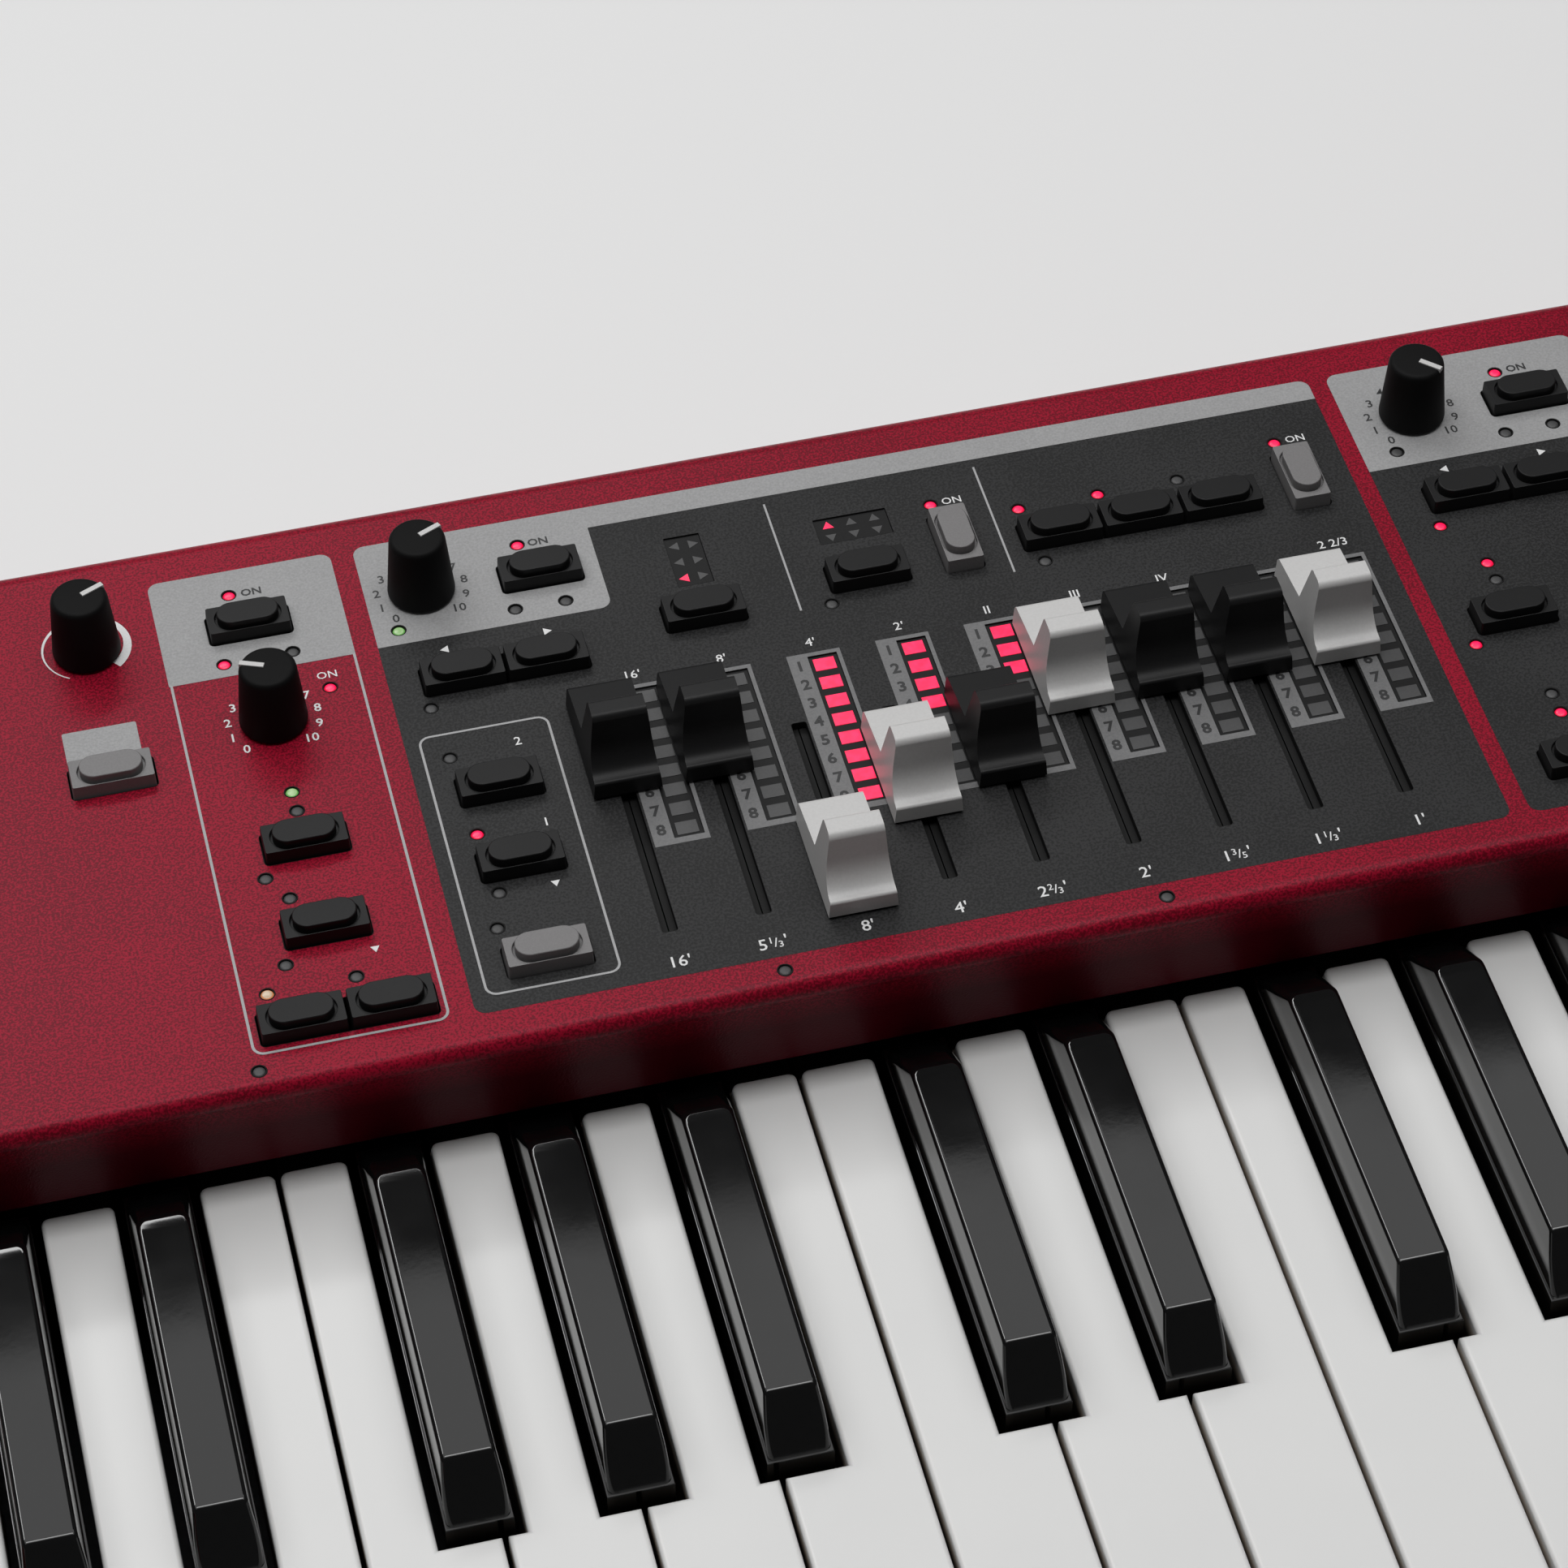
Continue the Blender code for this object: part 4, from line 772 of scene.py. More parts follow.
# %% The chassis under the keys
bed_low, bed_high = bench_box("key_bed")
CHASSIS_SECTION = [(0, 9.8), (202.5, 9.8), (202.5, 57.5), (199.5, 57.5), (199.5, 43.6), (191.0, 43.6),
                   (191.0, 11.4), (24.0, 11.4), (24.0, 31.0), (15.0, 31.0), (15.0, 11.4), (0, 11.4)]
chassis_front = bed_low.y
chassis = outline("key_chassis", [(bed_low.x, chassis_front + y, z) for y, z in CHASSIS_SECTION])
bpy.context.tool_settings.mesh_select_mode = (False, False, True)
pull(x=bed_high.x - bed_low.x)
tidy_mesh()
place(chassis, steel, "case", "black_key_plastic", "key_bed")
felt_finish = moulded("red_felt", (0.30, 0.02, 0.02), 0.95, grain=0.5, change=0.3, depth=0.08)
felt = slab("key_felt", (bed_low.x + 1, chassis_front + 15.2, 30.9), (bed_high.x - 1, chassis_front + 23.8, 32.0))
pick("edges", lambda edge: ends(edge, 2)[0] > 31.9)
round_off(0.5, 2)
place(felt, felt_finish, "case", "black_rubber", "key_bed")
print("chassis from", round(chassis_front, 1), "to", round(chassis_front + 202.5, 1), "bed", round(bed_high.y, 1))

# %% [markdown]
# The top panel is one folded sheet. A plane has the size of its flat, the front edge is pulled down into
# the leaning fascia and back into a hem, and the rear edge is pulled down into a flange. Bevels make the
# folds round, and Solidify gives the sheet its 1.5 mm.

# %% Fold the top panel
SHEET = 1.5
LEAN = 3.0
HEM = 6.8
FLANGE = 12.0
panel_middle = ((panel_low.x + panel_high.x) / 2, (panel_low.y + panel_high.y) / 2, PANEL)
panel_size = (panel_high.x - panel_low.x, panel_high.y - panel_low.y, 1)

panel = begin("plane", "panel_sheet", size=1, location=panel_middle, scale=panel_size)
pick("edges", lambda edge: near(ends(edge, 1)[1], panel_low.y))
pull(y=LEAN, z=panel_low.z - PANEL)
pull(y=HEM)
pick("edges", lambda edge: near(ends(edge, 1)[0], panel_high.y))
pull(z=-FLANGE)
for y, z, radius, steps in ((panel_low.y, PANEL, 3.4, 8), (panel_low.y + LEAN, panel_low.z, 1.6, 5),
                            (panel_high.y, PANEL, 5.0, 9)):
    pick("edges", lambda edge: near(ends(edge, 1)[0], y) and near(ends(edge, 1)[1], y)
         and near(ends(edge, 2)[0], z) and near(ends(edge, 2)[1], z))
    round_off(radius, steps)
tidy_mesh()
if min(face.normal.z for face in bmesh.from_edit_mesh(panel.data).faces if middle(face).z > PANEL - 0.01) < 0:
    bpy.ops.mesh.flip_normals()
modify(panel, "SOLIDIFY", thickness=SHEET, offset=-1, use_even_offset=True)
print("panel folded:", len(panel.data.polygons), "faces")

# %% [markdown]
# The places of the controls come from the photograph's grid. To the right of the piano section nothing
# is seen, so those rows are shares of the width that is left.

# %% Where the controls are
GRID_START = 322.0
GRID_MARGIN = 15.0
SLOT_FIRST = 75.05
SLOT_PITCH = 16.97
BUTTON_PITCH = 15.8


def share(part):
    """A place right of the piano section, by its share of the width there."""
    return GRID_START + part * (panel_high.x - GRID_MARGIN - GRID_START)


MAT_ROWS = {
    "rotary_key_mat": [(15.9, 109.3, 1), (16.5, 52.0, 1), (16.5, 31.1, 1)],
    "organ_key_mat": [(71.4, 109.3, 1), (52.0, 86.2, 2), (53.0, 57.0, 1), (53.0, 38.0, 1),
                      (98.8, 91.2, 1), (131.0, 93.8, 1), (169.0, 95.6, 3)],
    "piano_key_mat": [(266.6, 109.3, 1), (246.6, 86.2, 2), (244.4, 53.0, 1), (244.4, 14.8, 1),
                      (share(0.125), 60, 3), (share(0.10), 29, 2), (share(0.40), 109.3, 1),
                      (share(0.40), 60, 2), (share(0.88), 109.3, 1), (share(0.76), 60, 3)],
}
SINGLE_BUTTONS = {"vibrato_button": (-14.6, 76.5), "live_button": (53.0, 14.8)}
PAIRED_BUTTONS = {"slow_button": (8.7, 10.2), "fast_button": (8.7 + BUTTON_PITCH, 10.2)}
UPRIGHT_BUTTONS = {"chorus_on_button": (149.2, 97.8), "percussion_on_button": (217.4, 97.8)}
KNOBS = [name for name in nodes if name.endswith("_knob") or name == "programme_dial"]
joint_of = {joint["name"]: joint for joint in frame["joints"]}


def knob_centre(name):
    """The place of a knob's axis on the bench."""
    centre = TO_BENCH @ Vector(joint_of[name + "_turn"]["pos_m"])
    return centre.x, centre.y


display_low, display_high = bench_box("display_window")
print("rows of buttons:", sum(len(rows) for rows in MAT_ROWS.values()), "knobs:", len(KNOBS))

# %% [markdown]
# The little lamps sit in round holes. Their places follow the photograph on the left and keep the same
# habits on the right: one above each button that switches something, one beside each choice.

# %% Where the lamps are
LAMPS = {
    "red": [(13.5, 118.1), (9.7, 100.2), (27.7, 89.5), (68.7, 117.9), (46.7, 46.4), (147.2, 109.0),
            (163.1, 103.7), (178.8, 103.8), (215.7, 109.1), (263.4, 117.6), (239.1, 79.1), (244.4, 67.4),
            (235.2, 47.3), (244.4, 26.9), (share(0.40), 117.8), (share(0.125), 71.0), (share(0.88), 117.8)],
    "green": [(16.3, 65.0), (42.7, 100.9)],
    "amber": [(3.8, 18.2)],
    "off": [(22.6, 100.4), (16.4, 60.2), (8.1, 45.2), (11.5, 39.5), (8.1, 24.1), (19.6, 18.4),
            (64.9, 101.0), (74.5, 100.9), (44.7, 79.5), (45.6, 66.2), (47.7, 31.5), (45.7, 23.3),
            (122.5, 87.6), (164.2, 88.7), (194.6, 103.9), (259.7, 100.7), (269.3, 100.8), (237.7, 100.7),
            (244.5, 62.7), (244.4, 31.8), (-0.5, 1.2), (92.4, 1.2), (161.8, 1.2),
            (share(0.125) + 15.8, 71.0), (share(0.125) + 31.6, 71.0), (share(0.10), 37.5),
            (share(0.10) + 15.8, 37.5), (share(0.40), 71.0), (share(0.40) + 15.8, 71.0),
            (share(0.76), 71.0), (share(0.76) + 15.8, 71.0), (share(0.76) + 31.6, 71.0)],
}
print("lamps:", {name: len(places) for name, places in LAMPS.items()})

# %% [markdown]
# All openings of the panel are cut at once by a tool that holds every slot, bore and button hole. Each
# kind of hole is modelled once and copied to its places, so that all of a kind are the same size. The
# walls of the angular ones are black on the real panel, so the cutter's own walls become a thin lining.

# %% Where the light ladders and windows are
LADDER_LEFT, LADDER_RIGHT = 1.85, 12.0
LADDER_FRONT, LADDER_BACK = 35.2, 76.0
COLUMN = (5.65, 36.6, 11.25, 75.1)
CELL = (4.0, 3.1)
CELL_MIDDLE = 8.45
FIRST_CELL = 72.8
CELL_PITCH = 4.84
SETTINGS = (0, 0, 8, 4, 3, 0, 0, 0, 0)
WINDOWS = {"tall": (95.7, 99.0, 102.7, 112.6), "wide": (124.3, 103.4, 138.6, 110.4)}
print("ladder cells:", 8 * len(SETTINGS), "lit:", sum(SETTINGS))

# %% The openings of the panel
HOLE_LOW, HOLE_HIGH = PANEL - 3.0, PANEL + 2.0
BUTTON = (15.4, 7.4)
BUTTON_GAP = 0.3
SLOT_SIZE = (3.0, 44.2)
SLOT_START = 14.9


def hole_block(name, width, depth, radius):
    """A cutter with rounded upright corners, centred on the bench's zero."""
    piece = slab(name, (-width / 2, -depth / 2, HOLE_LOW), (width / 2, depth / 2, HOLE_HIGH))
    pick("edges", lambda edge: not near(*ends(edge, 2)))
    round_off(radius, 3)
    return piece


def hole_round(name, radius, steps):
    """A round cutter."""
    begin("cylinder", name, vertices=steps, radius=radius, depth=HOLE_HIGH - HOLE_LOW,
          location=(0, 0, (HOLE_LOW + HOLE_HIGH) / 2))
    return bpy.context.object


slot_hole = hole_block("slot_hole", *SLOT_SIZE, 0.6)
shaft_hole = hole_round("shaft_hole", 3.5, 24)
lamp_hole = hole_round("lamp_hole", 1.5, 16)
window_hole = hole_block("window_hole", *[high - low + 0.5 for low, high in
                                          zip(display_low.xy, display_high.xy)], 0.5)
column_hole = hole_block("column_hole", COLUMN[2] - COLUMN[0], COLUMN[3] - COLUMN[1], 0.15)
window_holes = {name: hole_block(f"{name}_hole", high_x - low_x, high_y - low_y, 0.2)
                for name, (low_x, low_y, high_x, high_y) in WINDOWS.items()}
row_holes = {count: hole_block(f"row_hole_{count}", BUTTON[0] + 2 * BUTTON_GAP + (count - 1) * BUTTON_PITCH,
                               BUTTON[1] + 2 * BUTTON_GAP, 1.0) for count in (1, 2, 3)}
round_holes = [copy_of(shaft_hole, "hole", *knob_centre(name)) for name in KNOBS]
round_holes += [copy_of(lamp_hole, "hole", *spot) for spots in LAMPS.values() for spot in spots]
holes = [copy_of(slot_hole, "hole", SLOT_FIRST + number * SLOT_PITCH, SLOT_START + SLOT_SIZE[1] / 2)
         for number in range(9)]
holes += [copy_of(row_holes[count], "hole", x + (count - 1) * BUTTON_PITCH / 2, y)
          for rows in MAT_ROWS.values() for x, y, count in rows]
holes += [copy_of(row_holes[1], "hole", *spot) for spot in SINGLE_BUTTONS.values()]
holes += [copy_of(row_holes[1], "hole", *spot, turn=90) for spot in UPRIGHT_BUTTONS.values()]
holes.append(copy_of(row_holes[2], "hole", PAIRED_BUTTONS["slow_button"][0] + BUTTON_PITCH / 2,
                     PAIRED_BUTTONS["slow_button"][1]))
holes.append(copy_of(window_hole, "hole", (display_low.x + display_high.x) / 2,
                     (display_low.y + display_high.y) / 2))
holes += [copy_of(column_hole, "hole", SLOT_FIRST + number * SLOT_PITCH + (COLUMN[0] + COLUMN[2]) / 2,
                  (COLUMN[1] + COLUMN[3]) / 2) for number in range(9)]
holes += [copy_of(window_holes[name], "hole", (low_x + high_x) / 2, (low_y + high_y) / 2)
          for name, (low_x, low_y, high_x, high_y) in WINDOWS.items()]
print("openings:", len(holes) + len(round_holes))
lining = join([copy_of(hole, "lining") for hole in holes], "opening_lining")
openings = join(holes + round_holes, "openings")
cut(panel, openings)
discard(slot_hole, shaft_hole, lamp_hole, window_hole, column_hole, *window_holes.values(),
        *row_holes.values())
place(panel, red_coat, "case", "red_powder_coat", "top_panel")
# The fascia faces get the finish whose colour holds the painted shade.
panel.data.materials.append(fascia_coat.material)
fascia = [face for face in panel.data.polygons if face.normal.y < -0.6 and face.center.z < FASCIA_TOP * MM
          and face.center.y < key_end_y + FASCIA_BEHIND * MM]
for face in fascia:
    face.material_index = 1
print("fascia faces:", len(fascia))
modify(panel, "WEIGHTED_NORMAL", keep_sharp=True)
print("panel cut:", faces_of(panel), "faces")

# %% Line the openings
LINING = 0.08

deselect()
bpy.context.view_layer.objects.active = lining
bpy.ops.object.mode_set(mode="EDIT")
pick("faces", lambda face: abs(face.normal.z) > 0.5)
bpy.ops.mesh.delete(type="ONLY_FACE")
for height, keep_above in ((PANEL - SHEET, True), (PANEL + 0.05, False)):
    bpy.ops.mesh.select_all(action="SELECT")
    bpy.ops.mesh.bisect(plane_co=(0, 0, height), plane_no=(0, 0, 1), clear_inner=keep_above,
                        clear_outer=not keep_above)
tidy_mesh()
modify(lining, "SOLIDIFY", thickness=LINING, offset=-1)
place(lining, deep_black, "case", "black_control_plastic")
print("lining:", faces_of(lining), "faces")

# %% [markdown]
# The print lies on the panel in layers, each a few hundredths of a millimetre thick: charcoal fields, grey
# headers on them, then lines and figures. Painting them into the panel's colour would tie them to its
# shader; as thin plates they have crisp edges, rounded corners and the same holes as the panel.

# %% Finishes of the print
charcoal = moulded("charcoal_print", (0.0145, 0.0145, 0.015), 0.5, grain=0.5, change=0.5, depth=0.04, spread=0.06)
charcoal.set(specular_ior_level=0.25)
header_grey = moulded("grey_print", (0.285, 0.285, 0.287), 0.52, grain=0.45, change=0.14, depth=0.022)
strip_grey = moulded("strip_print", (0.14, 0.14, 0.142), 0.52, grain=0.45, change=0.14, depth=0.02)
line_grey = moulded("line_print", (0.34, 0.34, 0.345), 0.5, grain=0.4, change=0.08, depth=0.006)
white_ink = moulded("white_ink", (0.68, 0.68, 0.68), 0.5, grain=0.4, change=0.06, depth=0.006)
dark_ink = moulded("dark_ink", (0.016, 0.016, 0.017), 0.5, grain=0.4, change=0.2, depth=0.006)
print("print finishes ready")

# %% Lay the printed fields
CORNER = 2.2
FRONT_LINE, BACK_LINE, BAND_LINE = 4.4, 124.8, 119.2
SECTIONS = [(38.1, 227.2), (230.8, 281.0), (284.5, share(0.268)), (share(0.276), share(0.688)),
            (share(0.696), share(1.018))]


def plate(low_x, low_y, high_x, high_y, layer, corners="", radius=CORNER):
    """A thin plate on the panel; corners lists the ones to round: fl, fr, bl, br."""
    piece = slab("plate", (low_x, low_y, PANEL - 0.02), (high_x, high_y, PANEL + 0.03 * layer))
    chosen = []
    for corner in corners.split():
        chosen.append((high_x if corner[1] == "r" else low_x, high_y if corner[0] == "b" else low_y))
    if chosen:
        pick("edges", lambda edge: not near(*ends(edge, 2))
             and any(near(middle(edge).x, x) and near(middle(edge).y, y) for x, y in chosen))
        round_off(radius, 6)
    return piece


fields = join([plate(low_x, FRONT_LINE, high_x, BACK_LINE, 1, "fl fr bl br") for low_x, high_x in SECTIONS],
              "charcoal_fields")
cut(fields, openings)
place(fields, charcoal, "case", "red_powder_coat")
headers = [
    plate(-1.1, 96.9, 33.8, 124.7, 2, "bl br"),
    plate(38.1, 97.2, 82.6, BACK_LINE, 2, "bl fr"),
    plate(82.6, BAND_LINE, 227.2, BACK_LINE, 2, "br"),
    plate(230.8, 96.6, 281.0, BACK_LINE, 2, "bl br"),
    plate(284.5, BAND_LINE, share(0.268), BACK_LINE, 2, "bl br"),
    plate(share(0.276), 97.2, share(0.432), BACK_LINE, 2, "bl fr"),
    plate(share(0.432), BAND_LINE, share(0.688), BACK_LINE, 2, "br"),
    plate(share(0.696), BAND_LINE, share(0.836), BACK_LINE, 2, "bl"),
    plate(share(0.836), 97.2, share(1.018), BACK_LINE, 2, "br fl"),
    plate(-22.1, 79.9, -8.4, 89.8, 2, "bl br fl fr", 0.4),
]
headers = join(headers, "grey_headers")
strips = join([plate(SLOT_FIRST + number * SLOT_PITCH + LADDER_LEFT, LADDER_FRONT,
                     SLOT_FIRST + number * SLOT_PITCH + LADDER_RIGHT, LADDER_BACK, 2) for number in range(9)],
              "ladder_strips")
for print_layer, ink in ((headers, header_grey), (strips, strip_grey)):
    cut(print_layer, openings)
    place(print_layer, ink, "case", "white_drawbar_plastic")
discard(openings)
print("fields:", faces_of(fields), "headers:", faces_of(headers), "faces")

# %% [markdown]
# Lines are frames: a plate with its corners rounded, inset by the line's width, with the middle taken out.
# The ring round the first knob is a crescent that grows from a hairline, drawn as an outline.

# %% Lines and the crescent
LINE = 0.5


def frame_line(low_x, low_y, high_x, high_y, width=LINE, open_back=False):
    """A closed line along a rectangle with rounded corners, or one that ends at the back."""
    piece = begin("plane", "line", size=1, scale=(high_x - low_x, high_y - low_y, 1),
                  location=((low_x + high_x) / 2, (low_y + high_y) / 2, PANEL + 0.09))
    pick("verts", lambda vert: not (open_back and near(vert.co.y, high_y)))
    round_off(CORNER, 6, "VERTICES")
    pick("faces", lambda face: True)
    bpy.ops.mesh.inset(thickness=width)
    bpy.ops.mesh.delete(type="FACE")
    if open_back:
        pick("faces", lambda face: ends(face, 1)[0] > high_y - width - 0.01)
        bpy.ops.mesh.delete(type="FACE")
    pick("faces", lambda face: True)
    pull(z=-0.1)
    tidy_mesh()
    return piece


def arc(radius, start, end, steps=36):
    """Points on a circle round zero, between two angles in degrees."""
    turns = [math.radians(start + (end - start) * step / steps) for step in range(steps + 1)]
    return [Vector((radius * math.cos(angle), radius * math.sin(angle), 0)) for angle in turns]


lines = [frame_line(-0.9, 4.6, 33.8, 97.4, open_back=True), frame_line(40.7, 8.0, 65.0, 72.5, 0.45)]
lines += [plate(x - 0.2, 87.2, x + 0.2, 117.0, 3) for x in (116.5, 157.8)]
lines += [plate(x - 0.2, 24.0, x + 0.2, 88.0, 3) for x in (share(0.545), share(0.92))]
place(join(lines, "grey_lines"), line_grey, "case", "white_drawbar_plastic")

RING_RADIUS = 8.4
RING_START, RING_END = 240.0, -50.0
RING_THIN, RING_THICK = 0.22, 1.9
ring_centre = Vector((*knob_centre("master_level_knob"), PANEL)) + Vector((0, 1.0, 0))
outer = arc(RING_RADIUS, RING_START, RING_END)
inner = [point * (1 - (RING_THIN + (RING_THICK - RING_THIN) * (step / 36) ** 1.5) / RING_RADIUS)
         for step, point in enumerate(outer)]
crescent = outline("crescent", [ring_centre + point for point in outer + inner[::-1]])
bpy.context.tool_settings.mesh_select_mode = (False, False, True)
pull(z=0.04)
tidy_mesh()
print("lines and crescent drawn")

# %% [markdown]
# The figures are generic: the steps of the dials, the numbers of the drawbars' lights and pipe lengths, ON
# beside the lamps of the switches, and small arrows. A text is made a mesh with a little thickness before
# it is laid in place. All other words of the real panel are left off.

# %% Figures and arrows
def label(text, x, y, size, layer=3, weight=0.01):
    """A text as a thin mesh on the panel, centred on a place; size is the height of a figure."""
    deselect()
    bpy.ops.object.text_add(location=(x, y, PANEL + 0.03 * layer - 0.01))
    words = bpy.context.object
    words.data.body = text
    words.data.size = size / 0.7
    words.data.align_x = "CENTER"
    words.data.align_y = "CENTER"
    words.data.offset = weight * size
    words.data.extrude = 0.01
    words.data.resolution_u = 2
    bpy.ops.object.convert(target="MESH")
    bpy.ops.object.transform_apply(location=True, rotation=True, scale=True)
    return bpy.context.object


def arrow(x, y, angle, size=1.05, rise=3):
    """A small triangle on the panel whose tip points along an angle."""
    piece = begin("cylinder", "arrow", vertices=3, radius=size, depth=0.04,
                  location=(x, y, PANEL + 0.03 * rise - 0.02), rotation=(0, 0, math.radians(angle - 90)))
    deselect()
    return piece


DIAL_RADIUS = 8.45


def dial_figures(name):
    """The figures 0 to 10 round a knob."""
    x, y = knob_centre(name)
    figures = []
    for number in range(11):
        angle = math.radians(225 - 27 * number)
        place_x, place_y = x + DIAL_RADIUS * math.cos(angle), y + DIAL_RADIUS * math.sin(angle)
        figures.append(label(str(number), place_x, place_y, 2.0, weight=0.02))
    return figures


PIPES = ("16", "5 1/3", "8", "4", "2 2/3", "2", "1 3/5", "1 1/3", "1")
UPPER = ("16'", "8'", "4'", "2'", "II", "III", "IV", "", "2 2/3")
ON_WHITE = [(27.7, 92.7), (151.4, 109.1), (219.9, 109.2)]
ON_DARK = [(17.6, 118.0), (72.5, 117.8), (267.6, 117.8), (share(0.40) + 4.3, 118.0),
           (share(0.88) + 4.3, 118.0)]

white_marks = [crescent]
for name in ("drive_knob", "filter_knob", "effect_amount_knob"):
    white_marks += dial_figures(name)
for number, (pipe, upper) in enumerate(zip(PIPES, UPPER)):
    x = SLOT_FIRST + number * SLOT_PITCH
    whole, _, part = pipe.partition(" ")
    white_marks.append(label(whole + ("" if part else "'"), x - (2.0 if part else 0), 7.6, 2.5))
    if part:
        white_marks += [label(text, x + shift, 7.6 + rise, size) for text, shift, rise, size in (
            (part[0], -0.5, 0.75, 1.45), ("/", 0.35, 0.1, 2.0), (part[2], 1.2, -0.4, 1.45), ("'", 2.2, 0.3, 2.5))]
    if upper:
        white_marks.append(label(upper, x + 7.1, 78.6 if len(upper) < 4 else 79.6, 2.0))
white_marks += [label("ON", x, y, 1.75) for x, y in ON_WHITE]
white_marks += [label("2", 58.4, 67.2, 2.0), label("1", 59.3, 46.2, 2.0)]
white_marks += [arrow(x, 93.8, angle) for x, angle in ((50.2, 180), (69.3, 0), (245.0, 180), (264.3, 0))]
white_marks += [arrow(x, y, 270, 0.95) for x, y in ((57.9, 31.4), (24.0, 24.0))]
place(join(white_marks, "white_figures"), white_ink, "case", "white_drawbar_plastic")

dark_marks = [label("ON", x + 0.15, y, 1.75, 4, 0.03) for x, y in ON_DARK]
for name in ("organ_level_knob", "piano_level_knob", "synth_level_knob"):
    dark_marks += dial_figures(name)
ladder_figures = [label(str(number + 1), SLOT_FIRST + 3.75, FIRST_CELL - number * CELL_PITCH, 2.45, 3, 0.045)
                  for number in range(8)]
ladder_figures = join(ladder_figures, "ladder_figures")
dark_marks += [copy_of(ladder_figures, "figures", number * SLOT_PITCH) for number in range(9)]
discard(ladder_figures)
place(join(dark_marks, "dark_figures"), dark_ink, "case", "black_control_plastic")
print("figures laid")

# %% [markdown]
# A lamp is a low dome of clear resin in a dark sleeve. The lit ones glow with an uneven patch, brighter in
# the middle, as a small diode does behind its lens. The same plastics are used for the ladders' cells.

# %% Finishes of the lights
def glowing(name, colour, deep, rim, strength=1.0, patch=1.4):
    """Resin lit from behind, with brighter and darker spots, and a deeper colour where it curves down."""
    finish = Finish(name)
    spots = finish.noise(patch)
    face_up = finish.node("SeparateXYZ", None, {"Vector": finish.node("TexCoord", out="Normal")}, "Z")
    tone = finish.between(finish.ramp(spots, 0.35, 0.65), deep, colour)
    tone = finish.between(finish.ramp(face_up, 0.96, 0.80), tone, rim)
    finish.set(base_color=tinted(deep, -0.6), emission_color=tone, emission_strength=strength)
    finish.set(roughness=0.25 + 0.1 * spots)
    return finish.bump(spots, 0.01)


lit_red = glowing("lit_red", (0.99, 0.022, 0.125), (0.93, 0.008, 0.075), (0.60, 0.002, 0.03), 1.0)
lit_green = glowing("lit_green", (0.48, 0.62, 0.38), (0.26, 0.44, 0.18), (0.10, 0.34, 0.06), 0.75)
lit_amber = glowing("lit_amber", (0.66, 0.55, 0.42), (0.44, 0.32, 0.2), (0.62, 0.17, 0.04), 0.7)
dull_lens = moulded("dull_lens", (0.043, 0.043, 0.044), 0.5, grain=0.4, change=0.15, depth=0.004)
cell_grey = moulded("cell_grey", (0.046, 0.046, 0.047), 0.4, grain=0.5, change=0.1, depth=0.003)
column_black = moulded("column_black", (0.006, 0.006, 0.0062), 0.45, grain=0.5, change=0.2, depth=0.003)
column_black.set(specular_ior_level=0.2)
LENS_FINISH = {"red": lit_red, "green": lit_green, "amber": lit_amber, "off": dull_lens}
print("light finishes:", sorted(LENS_FINISH))

# %% Set the lamps
LENS_PROFILE = [(0, -1.4), (1.19, -1.4), (1.19, -0.45), (1.1, -0.22), (0.92, -0.07), (0.65, 0.0), (0.3, 0.03),
                (0, 0.03)]
SLEEVE_PROFILE = [(1.20, -1.6), (1.49, -1.6), (1.49, 0.0), (1.40, 0.07), (1.28, 0.06), (1.20, -0.06),
                  (1.20, -1.6)]

lens_model = turned("lens_model", LENS_PROFILE, steps=20)
sleeve_model = turned("sleeve_model", SLEEVE_PROFILE, steps=20)
sleeves = []
for kind, spots in LAMPS.items():
    lenses = [copy_of(lens_model, "lens", x, y, PANEL) for x, y in spots]
    sleeves += [copy_of(sleeve_model, "sleeve", x, y, PANEL) for x, y in spots]
    place(join(lenses, f"{kind}_lamps"), LENS_FINISH[kind], "case", "display_acrylic", flats=False)
place(join(sleeves, "lamp_sleeves"), deep_black, "case", "black_control_plastic", flats=False)
discard(lens_model, sleeve_model)
print("lamps set:", sum(len(spots) for spots in LAMPS.values()))

# %% [markdown]
# Each ladder is a dark column sunk a little below the panel, with eight cells on it. The two small windows
# hold triangles in the same way: three pairs that point left and right, and three that point up and down.

# %% Set the ladders and windows
SUNK = 0.25
columns, cells, lit_cells = [], [], []
for number, setting in enumerate(SETTINGS):
    x = SLOT_FIRST + number * SLOT_PITCH
    columns.append(slab("column", (x + COLUMN[0] + 0.08, COLUMN[1] + 0.08, PANEL - 1.5),
                        (x + COLUMN[2] - 0.08, COLUMN[3] - 0.08, PANEL - SUNK)))
    for step in range(8):
        y = FIRST_CELL - step * CELL_PITCH
        cell = slab("cell", (x + CELL_MIDDLE - CELL[0] / 2, y - CELL[1] / 2, PANEL - 0.9),
                    (x + CELL_MIDDLE + CELL[0] / 2, y + CELL[1] / 2, PANEL - SUNK + 0.1))
        pick("edges", lambda edge: ends(edge, 2)[0] > PANEL - SUNK)
        round_off(0.08, 2)
        (lit_cells if step < setting else cells).append(cell)
for low_x, low_y, high_x, high_y in WINDOWS.values():
    columns.append(slab("window", (low_x + 0.12, low_y + 0.12, PANEL - 1.5),
                        (high_x - 0.12, high_y - 0.12, PANEL - SUNK)))
tips = [(x, y, angle) for y in (110.2, 105.8, 101.4) for x, angle in ((97.6, 180), (100.8, 0))]
tips += [(x, y, angle) for x in (126.9, 131.4, 135.9) for y, angle in ((108.4, 90), (105.4, 270))]
triangle_rise = -SUNK / 0.03 + 1.5
